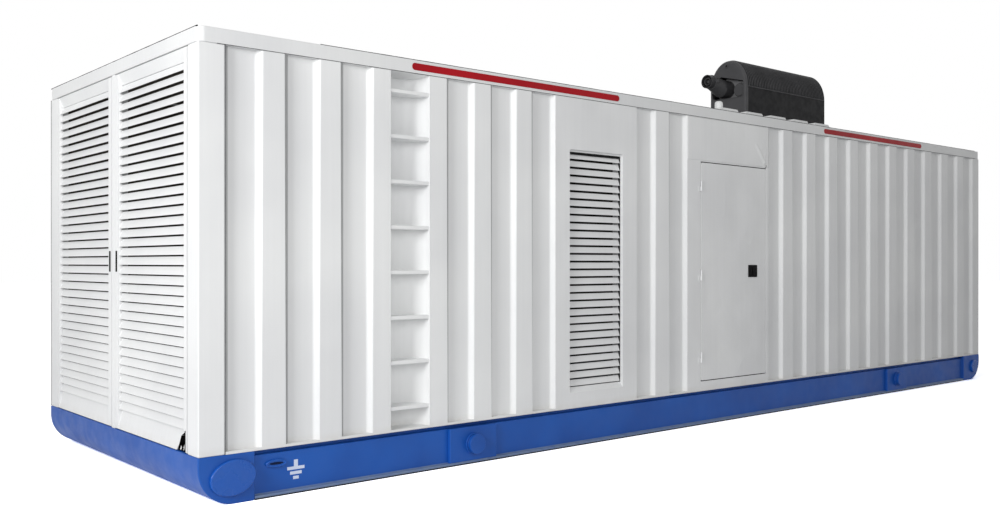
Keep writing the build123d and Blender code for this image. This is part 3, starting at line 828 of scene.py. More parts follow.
def bar(low: Sequence[float], high: Sequence[float]) -> bmesh.types.BMesh:
    """A box along the axes.

    Args:
        low: Its lowest corner.
        high: Its highest corner.

    Returns:
        The open mesh, its faces outward.
    """
    (x, y, z), end = low, high
    outline = [Vector((x, y, z)), Vector((x, end[1], z)), Vector((x, end[1], end[2])), Vector((x, y, end[2]))]
    return swept(outline, Vector((end[0] - x, 0, 0)))


def turned(profile_mm: Sequence[Pair], start: float, centre: Pair, steps: int = 40) -> bmesh.types.BMesh:
    """A round shape about a line along X.

    Args:
        profile_mm: The closed outline as pairs of length along the line and radius.
        start: Where on X the lengths are measured from.
        centre: The line's Y and Z.
        steps: How many steps go round.

    Returns:
        The open mesh, its faces outward.
    """
    outlines = []
    for angle in (math.tau * step / steps for step in range(steps)):
        outlines.append([(start + along * MM, centre[0] + radius * MM * math.cos(angle),
                          centre[1] + radius * MM * math.sin(angle)) for along, radius in profile_mm])
    return lofted(outlines, ring=True)


def thin_sheet(front: Sequence[Sequence[Point | Vector]],
               back: Sequence[Sequence[Point | Vector]]) -> bmesh.types.BMesh:
    """A closed thin sheet whose two sides are grids of points.

    Args:
        front: One side's rows of points.
        back: The other side's, as many.

    Returns:
        The open mesh, its faces outward.
    """
    mesh = bmesh.new()
    near, far = ([[mesh.verts.new(point) for point in row] for row in grid] for grid in (front, back))
    rows, columns = len(near) - 1, len(near[0]) - 1
    for row in range(rows):
        for i in range(columns):
            for grid in (near, far):
                mesh.faces.new((grid[row][i], grid[row][i + 1], grid[row + 1][i + 1], grid[row + 1][i]))
        for i in (0, columns):
            mesh.faces.new((near[row][i], near[row + 1][i], far[row + 1][i], far[row][i]))
    for row in (0, rows):
        for i in range(columns):
            mesh.faces.new((near[row][i], near[row][i + 1], far[row][i + 1], far[row][i]))
    bmesh.ops.recalc_face_normals(mesh, faces=mesh.faces)
    return mesh


def finished(piece: bpy.types.Object, slot: Slot, *stands_for: str, coat: Extra | Slot | None = None,
             body: Body = Body.ENCLOSURE) -> None:
    """Gives a piece its finish and body, and reports it.

    Args:
        piece: The piece, in place.
        slot: The record's slot that its finish comes from.
        *stands_for: The CAD nodes that it is shown instead of.
        coat: A finish other than the slot's own.
        body: The body that it moves with.
    """
    piece.data.materials.clear()
    piece.data.materials.append(MATERIALS[coat or slot])
    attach(piece, body.value)
    for node in stands_for:
        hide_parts(node)
    LOG.info("%s: %d faces on %s", piece.name, len(piece.data.polygons), body.value)


def lay_beads(name: str, runs: Iterable[tuple[float, Point, Point]], slot: Slot, coat: Slot | Extra,
              spacing_mm: float, ripple: float) -> bpy.types.Object:
    """Lays straight beads as one finished piece.

    Args:
        name: The piece's plain name.
        runs: Each bead's radius in millimetres and its two ends. Its number is its seed.
        slot: The record's slot that the finish comes from.
        coat: The finish.
        spacing_mm: The length of a bead's steps.
        ripple: How much a bead's thickness varies, as a share.

    Returns:
        The piece.
    """
    beads = [beaded(path_of(start, end), coat, radius, spacing_mm, ripple, seed)
             for seed, (radius, start, end) in enumerate(runs)]
    piece = joined(name, beads)
    finished(piece, slot, coat=coat)
    return piece


def merged(mesh: bmesh.types.BMesh) -> bmesh.types.BMesh:
    """Joins a mesh's loose triangles into whole faces.

    Args:
        mesh: The mesh, open for edits.

    Returns:
        The same mesh.
    """
    bmesh.ops.remove_doubles(mesh, verts=mesh.verts, dist=0.02 * MM)
    bmesh.ops.dissolve_limit(mesh, angle_limit=math.radians(1), verts=mesh.verts, edges=mesh.edges)
    return mesh


def merged_copy(node: str) -> bmesh.types.BMesh:
    """A CAD node's mesh with its triangles joined into whole faces.

    Args:
        node: The CAD node.

    Returns:
        The open mesh of the copy.
    """
    mesh = bmesh.new()
    mesh.from_mesh(frame["nodes"][node].data)
    return merged(mesh)


def rounded_copy(node: str, name: str, slot: Slot, *roundings: Rounding, coat: Extra | Slot | None = None,
                 body: Body = Body.ENCLOSURE) -> None:
    """Makes a CAD node's own shape with its folds and edges rounded.

    Args:
        node: The CAD node to copy and stand for.
        name: The new piece's name.
        slot: The slot of its finish.
        *roundings: The roundings, widest first.
        coat: A finish other than the slot's own.
        body: The body that it moves with.
    """
    mesh = merged_copy(node)
    for rounding in roundings:
        rounding.apply(mesh)
    finished(smooth_shaded(linked(name, mesh)), slot, node, coat=coat, body=body)


@dataclass
class PhotoCamera:
    """The camera at the photo's place, worked out from its vanishing points."""

    lens_mm: float = 35.58
    sensor_mm: float = 36.0
    from_near_corner: Pair = (-2.064, -4.756)
    height: float = 1.240
    turn_degrees: float = -40.46
    shift_up: float = 0.0015
    sight: float = 200.0

    def build(self) -> None:
        """Makes the camera and the scene's own."""
        corner, _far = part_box("base_near_end")
        data = bpy.data.cameras.new("photo_camera")
        data.lens, data.sensor_width, data.shift_y = self.lens_mm, self.sensor_mm, self.shift_up
        data.clip_end = self.sight
        camera = bpy.data.objects.new("photo_camera", data)
        across, along = self.from_near_corner
        camera.location = (corner.x + across, corner.y + along, self.height)
        camera.rotation_euler = (math.pi / 2, 0, math.radians(self.turn_degrees))
        bpy.context.scene.collection.objects.link(camera)
        bpy.context.scene.camera = camera


@dataclass(frozen=True)
class Lamp:
    """A square soft lamp."""

    name: str
    place: Point
    target: Point
    size: float
    watts: float

    def build(self) -> None:
        """Hangs the lamp and turns it to its target."""
        data = bpy.data.lights.new(self.name, "AREA")
        data.shape = "SQUARE"
        data.size = self.size
        data.energy = self.watts
        lamp = bpy.data.objects.new(self.name, data)
        lamp.location = self.place
        lamp.rotation_euler = (Vector(self.target) - Vector(self.place)).to_track_quat("-Z", "Y").to_euler()
        bpy.context.scene.collection.objects.link(lamp)


@dataclass
class Studio:
    """A white floor, an even sky and soft lamps off the louvred end and the door side."""

    sky: float = 0.30
    floor_reach: float = 60.0
    floor_shade: float = 0.88
    floor_seen: float = 2.7
    floor_mirrored: float = 0.6
    lamps: tuple[Lamp, ...] = (Lamp("end_lamp", (-11.0, -3.6, 3.6), (-4.3, -0.6, 1.1), 2.6, 450.0),
                               Lamp("side_lamp", (-5.4, -8.6, 3.4), (-2.0, -1.2, 1.3), 3.4, 176.0))

    def build(self) -> None:
        """Makes the world, the floor and the lamps."""
        self.make_world()
        self.make_floor()
        for lamp in self.lamps:
            lamp.build()
        bpy.context.scene.view_settings.view_transform = "Standard"

    def make_world(self) -> None:
        """An even sky that shows as white and lights less."""
        world = bpy.data.worlds.new("even_sky")
        world.use_nodes = True
        tree = world.node_tree
        tree.nodes.clear()
        path = add(tree, "ShaderNodeLightPath").outputs
        gloss = add(tree, "ShaderNodeMath", {0: path["Is Camera Ray"], 1: path["Is Glossy Ray"]},
                    operation="MAXIMUM")
        seen = add(tree, "ShaderNodeMath", {0: gloss.outputs[0], 1: path["Is Transmission Ray"]},
                   operation="MAXIMUM")
        strength = add(tree, "ShaderNodeMapRange", {"Value": seen.outputs[0]}, {"To Min": self.sky, "To Max": 1.0})
        sky = add(tree, "ShaderNodeBackground", {"Strength": strength.outputs[0]}, {"Color": (1, 1, 1, 1)})
        add(tree, "ShaderNodeOutputWorld", {"Surface": sky.outputs[0]})
        bpy.context.scene.world = world

    def make_floor(self) -> None:
        """A wide matt floor, white to the eye where no shadow falls."""
        mesh = bmesh.new()
        bmesh.ops.create_grid(mesh, x_segments=1, y_segments=1, size=self.floor_reach)
        floor = linked("studio_floor", mesh)
        material = bpy.data.materials.new("studio_floor_white")
        material.use_nodes = True
        tree = material.node_tree
        tree.nodes.clear()
        path = add(tree, "ShaderNodeLightPath").outputs
        mirrored = add(tree, "ShaderNodeMath", {0: path["Is Glossy Ray"], 1: path["Is Transmission Ray"]},
                       operation="MAXIMUM")
        lifted = add(tree, "ShaderNodeMath", {0: mirrored.outputs[0]}, {1: self.floor_mirrored, 2: self.floor_shade},
                     operation="MULTIPLY_ADD")
        shown = add(tree, "ShaderNodeMath", {0: path["Is Camera Ray"], 2: lifted.outputs[0]}, {1: self.floor_seen},
                    operation="MULTIPLY_ADD")
        paper = add(tree, "ShaderNodeBsdfDiffuse", {"Color": shown.outputs[0]})
        add(tree, "ShaderNodeOutputMaterial", {"Surface": paper.outputs[0]})
        floor.data.materials.append(material)


@dataclass
class BladePack:
    """Sloping folded blades between two upright channels, with rolled edges."""

    run: float
    depth: float
    rise: float
    low: float
    high: float
    corner: Vector
    along: Vector
    inward: Vector
    seed: int
    pitch: float = 53.2 * MM
    sheet: float = 3.0 * MM
    channel: float = 6.0 * MM
    roll_mm: float = 1.1
    lean_degrees: float = 0.22

    def blades(self) -> bpy.types.Object:
        """Makes the blades.

        Returns:
            The blades as one object.
        """
        up = Vector((0, 0, 1))
        spare = self.high - self.low - self.rise - self.sheet
        count = int(spare // self.pitch) + 1
        start = self.corner + self.along * self.run / 2 + up * (self.low + (spare - (count - 1) * self.pitch) / 2)
        half = self.along * (self.run / 2 - self.channel)
        back = self.inward * self.depth + up * self.rise - half
        outline = [-half, back, back + up * self.sheet, up * self.sheet - half]
        rolled = Rounding(self.roll_mm, 2, lambda _middle, way: abs(way.dot(self.along)) > 0.99)
        return grown("blades", rolled.apply(swept(outline, 2 * half)), ROW, Slot.WHITE, Start=list(start),
                     Step=[0.0, 0.0, self.pitch], Count=count, Seed=self.seed,
                     Lean=[abs(v) * math.radians(self.lean_degrees) for v in self.along])

    def channels(self, head: float = 0.0) -> list[bpy.types.Object]:
        """Makes the upright channels at the blades' ends, and a flat strip over the top blade.

        Args:
            head: The height of the strip, or nought for none.

        Returns:
            The separate plates.
        """
        inner, end, lintel = self.channel, self.run - self.channel, self.high - head
        outlines = [[(0.0, self.low), (inner, self.low), (inner, self.high), (0.0, self.high)],
                    [(end, self.low), (self.run, self.low), (self.run, self.high), (end, self.high)]]
        if head:
            outlines = [[(0.0, self.low), (inner, self.low), (inner, lintel), (end, lintel), (end, self.low),
                         (self.run, self.low), (self.run, self.high), (0.0, self.high)]]
        plates = []
        for outline in outlines:
            corners = [self.corner + self.along * reach + Vector((0, 0, level)) for reach, level in outline]
            plates.append(linked("channel", swept(corners, self.inward * self.depth)))
        return plates


@dataclass
class SteelBase:
    """The blue base: end pieces, side rails, bosses, lifting plates, bollards and the earth mark."""

    edge_mm: float = 4.0
    end_edge_mm: float = 8.0
    boss_edge_mm: float = 16.0
    weld_mm: float = 3.5
    weld_levels: Pair = (24 * MM, 228 * MM)
    lug_rim_mm: float = 4.0
    lug_slot_share: Pair = (0.72, 0.42)
    mark_stem: Pair = (-3.8265, 0.1425)
    mark_bars_mm: tuple[Pair, ...] = ((104.0, 0.0), (70.0, 26.0), (34.0, 52.0))
    mark_bar_mm: float = 17.0
    mark_stem_mm: Pair = (24.0, 36.0)
    mark_proud_mm: float = 0.8

    def build(self) -> None:
        """Rounds the base's pieces and adds the welds and the mark."""
        edges, end_edges = Rounding(self.edge_mm, 3), Rounding(self.end_edge_mm, 4)
        for node, rounding, coat in (
                ("base_crossmembers", edges, Slot.BLUE), ("lifting_plates", edges, Slot.BLUE),
                ("base_near_end", end_edges, Slot.BLUE), ("base_far_end", end_edges, Slot.BLUE),
                ("base_side_rails", edges, Extra.RAIL),
                ("base_end_bosses", Rounding(self.boss_edge_mm, 6), Extra.BOSS),
                ("earth_boss", Rounding(1.0, 1), Slot.BLUE)):
            rounded_copy(node, node + "_steel", Slot.BLUE, rounding, coat=coat)
        self.earth_lug()
        rounded_copy("lifting_bollards", "lifting_bollards_steel", Slot.BLUE, edges)
        rounded_copy("floor_deck", "floor_deck_plate", Slot.DECK, Rounding(1.5, 1))
        self.welds()
        self.earth_mark()

    def welds(self) -> None:
        """Weld beads where the side rails meet the end pieces."""
        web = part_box("earth_boss")[1].y
        low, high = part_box("base_side_rails")
        foot, ledge = self.weld_levels
        runs = [(self.weld_mm, (x, y, foot), (x, y, ledge)) for y in (web, -web) for x in (low.x + MM, high.x - MM)]
        lay_beads("base_weld_beads", runs, Slot.BLUE, Slot.BLUE, 4, 0.25)

    def earth_lug(self) -> None:
        """A rolled rim round the oval earth boss, and the dark slot in it."""
        low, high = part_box("earth_boss")
        middle, rim = (low + high) / 2, self.lug_rim_mm * MM
        half, rise = (high.x - low.x) / 2 - rim, (high.z - low.z) / 2 - rim
        ways = [(math.cos(math.tau * step / 36), math.sin(math.tau * step / 36)) for step in range(36)]
        path = path_of(*((middle.x + half * c, low.y, middle.z + rise * s) for c, s in ways), closed=True)
        bead = joined("earth_boss_rim", [beaded(path, Slot.BLUE, self.lug_rim_mm, 6, 0.04, 2)])
        bead.data.shade_smooth()
        finished(bead, Slot.BLUE, coat=Extra.BOSS)
        wide, tall = self.lug_slot_share
        outline = [Vector((middle.x + half * wide * c, low.y - MM, middle.z + rise * tall * s)) for c, s in ways]
        finished(linked("earth_boss_slot", swept(outline, Vector((0, 3 * MM, 0)))), Slot.BLUE, coat=Extra.NAVY)

    def earth_mark(self) -> None:
        """The painted earth mark: a stem over three bars of falling length."""
        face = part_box("earth_boss")[1].y
        x, top = self.mark_stem
        wide, tall = self.mark_stem_mm
        spans = [(wide, 0.0, tall)] + [(length, -drop - self.mark_bar_mm, -drop) for length, drop in self.mark_bars_mm]
        plates = [bar((x - length * MM / 2, face - self.mark_proud_mm * MM, top + low * MM),
                      (x + length * MM / 2, face + MM, top + high * MM)) for length, low, high in spans]
        finished(joined_meshes("earth_mark_paint", (Rounding(0.3, 1).apply(plate) for plate in plates)),
                 Slot.WHITE, coat=Extra.MARK)


@dataclass
class Shell:
    """The white walls, posts, ladder and louvre panels."""

    fold_mm: float = 9.0
    edge_mm: float = 2.0
    post_edge_mm: float = 6.0
    rung_rounding_mm: float = 3.0
    rung_count: int = 8
    rung_pitch: float = 264 * MM
    side_blade: Pair = (14 * MM, 38.5 * MM)
    end_blade_rise: float = 43.5 * MM
    louvre_head: float = 17 * MM
    soffit_inset: Pair = (6 * MM, 3 * MM)
    soffit_depths: Pair = (2 * MM, 24 * MM)
    lip_setback: float = 1.5 * MM
    lip_reach: float = 45 * MM
    lip_thickness: float = 4.5 * MM

    def build(self) -> None:
        """Rounds the folds of the corrugated walls and the edges of the rest."""
        for node in ("door_side_wall_1", "door_side_wall_2", "door_side_wall_3", "door_side_wall_4", "back_walls"):
            rounded_copy(node, node + "_sheet", Slot.WHITE, self.folds(node), Rounding(self.edge_mm, 1),
                         coat=Extra.CORRUGATED)
        rounded_copy("corner_posts", "corner_posts_folded", Slot.WHITE, Rounding(self.post_edge_mm, 3))
        for node, slot, coat in (("end_mullion", Slot.WHITE, None), ("far_end_frame", Slot.WHITE, None),
                                 ("ladder_channel", Slot.WHITE, Extra.OUTER), ("louvre_panels", Slot.DOOR, None),
                                 ("doorway_jambs", Slot.DOOR, None), ("doorway_head_and_sill", Slot.DOOR, None)):
            rounded_copy(node, node + "_sheet", slot, Rounding(self.edge_mm, 2), coat=coat)
        self.soffit()
        self.rungs()
        self.side_louvres()
        self.far_louvres()
        self.joints()
        self.leaf_lips()

    def folds(self, node: str) -> Rounding:
        """The rounding of a corrugated wall's upright folds.

        Args:
            node: The wall's CAD node.

        Returns:
            A rounding that leaves the wall's ends and inner face sharp.
        """
        low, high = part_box(node)
        inside = max(abs(low.y), abs(high.y)) - WALL_THICKNESS

        def upright_fold(middle: Vector, direction: Vector) -> bool:
            """Picks an upright edge on the folded side, clear of the wall's ends."""
            clear = low.x + MM < middle.x < high.x - MM
            return abs(direction.z) > 0.99 and clear and abs(middle.y) > inside + MM

        return Rounding(self.fold_mm, 3, upright_fold)

    def soffit(self) -> None:
        """The sloping plate that closes the ladder channel under the rail."""
        low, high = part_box("ladder_channel")
        aside, behind = self.soffit_inset
        shallow, deep = self.soffit_depths
        left, right, front = low.x + aside, high.x - aside, low.y + behind
        outline = [Vector((left, front, high.z)), Vector((left, high.y, high.z)),
                   Vector((left, high.y, high.z - deep)), Vector((left, front, high.z - shallow))]
        finished(linked("ladder_channel_soffit", swept(outline, Vector((right - left, 0, 0)))), Slot.WHITE,
                 coat=Extra.OUTER)

    def rungs(self) -> None:
        """D-shaped treads, one above the other, with rolled edges."""
        low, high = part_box("ladder_rungs")
        half, depth = (high.x - low.x) / 2, high.y - low.y
        thick = (high.z - low.z) - (self.rung_count - 1) * self.rung_pitch
        outline = [Vector((half * math.cos(angle), low.y + depth * math.sin(angle), -thick / 2))
                   for angle in (math.pi * step / 24 for step in range(25))]
        tread = Rounding(self.rung_rounding_mm, 2).apply(swept(outline, Vector((0, 0, thick))))
        treads = grown("ladder_treads", tread, ROW, Extra.OUTER, Start=[(low.x + high.x) / 2, 0.0, low.z + thick / 2],
                       Step=[0.0, 0.0, self.rung_pitch], Count=self.rung_count, Lean=[math.radians(0.1), 0.0, 0.0],
                       Seed=3)
        finished(smooth_shaded(treads), Slot.WHITE, "ladder_rungs", coat=Extra.OUTER)

    def side_louvres(self) -> None:
        """The blade packs in the flat panels on both long sides."""
        low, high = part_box("side_louvres")
        packs = [BladePack(high.x - low.x, *self.side_blade, low.z, high.z, Vector((low.x, sign * high.y, 0)),
                           Vector((1, 0, 0)), Vector((0, -sign, 0)), 11 + sign) for sign in (-1, 1)]
        channels = [plate for pack in packs for plate in pack.channels(self.louvre_head)]
        # The dark channels are painted shade in the gaps at the blades' ends and over the top blade.
        finished(joined("side_louvre_channels", channels), Slot.PLASTIC, coat=Extra.SEAL_AND_SHADE)
        blades = joined("side_louvre_blades", [pack.blades() for pack in packs])
        finished(smooth_shaded(blades), Slot.WHITE, "side_louvres")

    def far_louvres(self) -> None:
        """The two fixed blade packs at the far end."""
        low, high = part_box("far_end_louvres")
        leaf_low, leaf_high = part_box("end_door_left_louvre")
        plates = []
        for start, seed in ((-leaf_high.y, 31), (leaf_low.y, 32)):
            pack = BladePack(leaf_high.y - leaf_low.y, high.x - low.x, self.end_blade_rise, low.z, high.z,
                             Vector((high.x, start, 0)), Vector((0, 1, 0)), Vector((-1, 0, 0)), seed)
            plates += [pack.blades(), *pack.channels()]
        finished(smooth_shaded(joined("far_end_blades", plates)), Slot.WHITE, "far_end_louvres")

    @staticmethod
    def joints() -> None:
        """Grey sealant at the side rails and near posts, and painted-shade beads on the end rails and a post's corner.
        """
        rail_low, rail_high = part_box("top_side_rails")
        wall, (post_low, post_high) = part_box("back_walls")[0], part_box("corner_posts")
        wall_top, top = rail_low.z, rail_high.z
        runs = []
        for sign in (-1, 1):
            under, over, upright = (sign * (rail_high.y - inset * MM) for inset in (2.0, 4.0, 3.4))
            runs += [(1.6, (rail_low.x, under, wall_top), (rail_high.x, under, wall_top)),
                     (3.0, (rail_low.x + 0.6, over, top), (rail_high.x, over, top)),
                     (1.8, (wall.x, upright, wall.z), (wall.x, upright, wall_top))]
        lay_beads("rail_sealant", runs, Slot.PLASTIC, Extra.SEALANT, 60, 0.2)
        # Dark beads along the end rails' top edges and the near post's outer corner are painted shade.
        end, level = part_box("top_end_rails")[1].x - 3.5 * MM, top - 1.5 * MM
        side = rail_high.y - 16 * MM
        runs = [(3.6, (x * end, sign * side, level), (x * end, 0, level)) for sign in (-1, 1) for x in (-1, 1)]
        edge = (1.5 * MM - post_high.x, post_high.y - 1.5 * MM)
        runs.insert(3, (3.0, (*edge, post_low.z + MM), (*edge, wall_top)))
        lay_beads("edge_painted_shade", runs, Slot.PLASTIC, Extra.SEAL_AND_SHADE, 60, 0.15)

    def leaf_lips(self) -> None:
        """Thin white lips on the posts that close the gap beside each leaf, clear of its swing."""
        low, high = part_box("end_door_right_frame")
        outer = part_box("far_end_frame")[1].y
        inner = outer - self.lip_thickness
        lips = [bar((low.x + self.lip_setback, left, low.z), (low.x + self.lip_reach, right, high.z))
                for left, right in ((-outer, -inner), (inner, outer))]
        finished(joined_meshes("end_doorway_lips", lips), Slot.WHITE, coat=Extra.OUTER)


@dataclass
class Roof:
    """The rails round the roof, the ribbed sheet, the red strips and the small cap."""

    rail_edge_mm: float = 5.0

    def build(self) -> None:
        """Rounds the roof's pieces."""
        self.rails()
        rounded_copy("roof_sheet", "roof_sheet_folded", Slot.WHITE, Rounding(7.0, 2), coat=Extra.ROOF)
        rounded_copy("marker_strips", "marker_strips_painted", Slot.RED, Rounding(1.2, 2))
        rounded_copy("roof_vent", "roof_vent_cap", Slot.WHITE, Rounding(2.0, 2), coat=Extra.OUTER)

    def rails(self) -> None:
        """Side and end rails welded into one ring with ground joints."""
        ends = linked("rail_ends", merged_copy("top_end_rails"))
        sides = linked("rail_sides", merged_copy("top_side_rails"))
        weld = ends.modifiers.new("welded_corners", "BOOLEAN")
        weld.operation = "UNION"
        weld.solver = "EXACT"
        weld.object = sides
        mesh = bmesh.new()
        mesh.from_mesh(baked(ends).data)
        for piece in (sides, ends):
            bpy.data.objects.remove(piece)
        ring = linked("top_rail_ring", Rounding(self.rail_edge_mm, 3).apply(merged(mesh)))
        finished(smooth_shaded(ring), Slot.WHITE, "top_side_rails", "top_end_rails", coat=Extra.CAP_RAIL)


@dataclass
class Silencer:
    """The black exhaust silencer on the roof."""

    rib_pitch: float = 27 * MM
    rib_proud: float = 8 * MM
    rib_half_width: float = 7 * MM
    rib_from_front: float = 52 * MM
    back_clear: float = 30 * MM
    seam_mm: float = 6.5
    side_height: float = 440 * MM
    mouth_rim_mm: tuple[Pair, ...] = ((-186, 57), (80, 124), (186, 57), (186, -62), (174, -90), (148, -101),
                                      (-148, -101), (-174, -90), (-186, -62))
    mouth_back_mm: tuple[Pair, ...] = ((-183, 50), (80, 118), (183, 50), (183, -60), (147, -98), (-147, -98),
                                       (-183, -60))
    mouth_depth: float = 106 * MM
    outlet_centre: Pair = (110 * MM, 61 * MM)
    pipe_mm: tuple[Pair, ...] = ((12, 30), (8, 34), (12, 38), (58, 38), (58, 30))
    plug_mm: tuple[Pair, ...] = ((22, 0), (22, 12), (26, 15), (58, 15), (58, 0))
    lug_mm: tuple[Point, Point] = ((62, -94, -16), (80, -66, 16))
    clamp_mm: tuple[Pair, ...] = ((60, 64), (60, 70), (63, 72), (79, 72), (82, 70), (82, 64))
    eye_place: Pair = (0.012, 3.186)
    eye_mm: tuple[Pair, ...] = ((-6, 10), (-8, 14), (-6, 18), (2, 18), (2, 10))
    eye_hole_mm: tuple[Pair, ...] = ((-3, 0), (-3, 10.5), (1, 10.5), (1, 0))

    def build(self) -> None:
        """Rounds the silencer's pieces and adds the ribs, seams, clamp and eye."""
        edge = Rounding(3.0, 2)
        for node, name, slot, rounding, coat in (
                ("silencer_body", "silencer_body_steel", Slot.SILENCER, edge, None),
                ("silencer_feet", "silencer_feet_steel", Slot.SILENCER, edge, None),
                ("silencer_outlet", "silencer_outlet_steel", Slot.SILENCER, edge, Extra.RIBS),
                ("silencer_stub", "silencer_stub_domed", Slot.SILENCER, Rounding(14.0, 4), Slot.PLATE),
                ("silencer_front", "silencer_front_plate", Slot.PLATE, edge, None)):
            rounded_copy(node, name, slot, rounding, coat=coat)
        self.ribs()
        self.seams()
        self.outlet_rings()

    def ribs(self) -> None:
        """Pressed ribs over the arch, one after another along the housing, paler with dust and painted highlight."""
        low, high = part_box("silencer_body")
        seam = low.z + self.side_height
        half, rise = high.y, high.z - seam
        flank, shoulder = self.rib_half_width * 0.6, self.rib_proud * 0.8
        profile = ((-self.rib_half_width, -MM), (-flank, shoulder), (0.0, self.rib_proud), (flank, shoulder),
                   (self.rib_half_width, -MM))
        hoop = lofted([[(x, (half + out) * math.cos(angle), (rise + out) * math.sin(angle)) for x, out in profile]
                       for angle in (math.pi * (0.004 + 0.992 * step / 36) for step in range(37))])
        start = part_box("silencer_front")[0].x + self.rib_from_front
        count = int((high.x - self.back_clear - start) // self.rib_pitch) + 1
        ribs = grown("silencer_ribs", hoop, ROW, Slot.SILENCER, Start=[start, 0.0, seam],
                     Step=[self.rib_pitch, 0.0, 0.0], Count=count, Lean=[0.0, 0.0, math.radians(0.15)], Seed=5)
        finished(smooth_shaded(ribs), Slot.SILENCER, coat=Extra.RIBS)

    def seams(self) -> None:
        """The rolled rim of the mouth, the folded seam round the housing and the plate in the mouth."""
        low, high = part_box("silencer_body")
        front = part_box("silencer_front")[0].x
        seam = low.z + self.side_height
        rim = path_of(*((front, y * MM, seam + rise * MM) for y, rise in self.mouth_rim_mm), closed=True)
        mouth = joined("silencer_mouth_rim", [beaded(rim, Slot.PLATE, 4, 12, 0.05, 7)])
        mouth.data.shade_smooth()
        finished(mouth, Slot.PLATE)
        # The seam beads' grey, against the black housing, is painted highlight along the fold.
        runs = [(self.seam_mm, (low.x, y, seam), (high.x - self.back_clear, y, seam)) for y in (-high.y, high.y)]
        lay_beads("silencer_seams", runs, Slot.PLATE, Slot.PLATE, 30, 0.08).data.shade_smooth()
        panel = [Vector((front + self.mouth_depth, y * MM, seam + rise * MM)) for y, rise in self.mouth_back_mm]
        finished(linked("silencer_mouth_back", swept(panel, Vector((3.5 * MM, 0, 0)))), Slot.PLATE, coat=Extra.WORN)

    def outlet_rings(self) -> None:
        """The inner pipe in the tail pipe's mouth, the clamp behind it and the lifting eye."""
        lip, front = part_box("silencer_outlet")[0].x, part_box("silencer_front")[0].x
        y, z = self.outlet_centre[0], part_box("silencer_body")[0].z + self.side_height + self.outlet_centre[1]
        rounds = [turned(profile, lip, (y, z), steps)
                  for profile, steps in ((self.pipe_mm, 40), (self.plug_mm, 24), (self.clamp_mm, 40))]
        lug = bar(*(Vector((lip, y, z)) + Vector(corner) * MM for corner in self.lug_mm))
        rings = joined_meshes("outlet_rings", [*rounds, Rounding(4.0, 2).apply(lug)])
        finished(smooth_shaded(rings), Slot.SILENCER, coat=Slot.PLATE)
        finished(smooth_shaded(linked("lifting_eye", turned(self.eye_mm, front, self.eye_place, 24))), Slot.PLATE)
        # The dark disc in the eye's hole is painted shade.
        finished(linked("lifting_eye_hole", turned(self.eye_hole_mm, front, self.eye_place, 24)), Slot.SILENCER,
                 coat=Extra.SEAL_AND_SHADE)


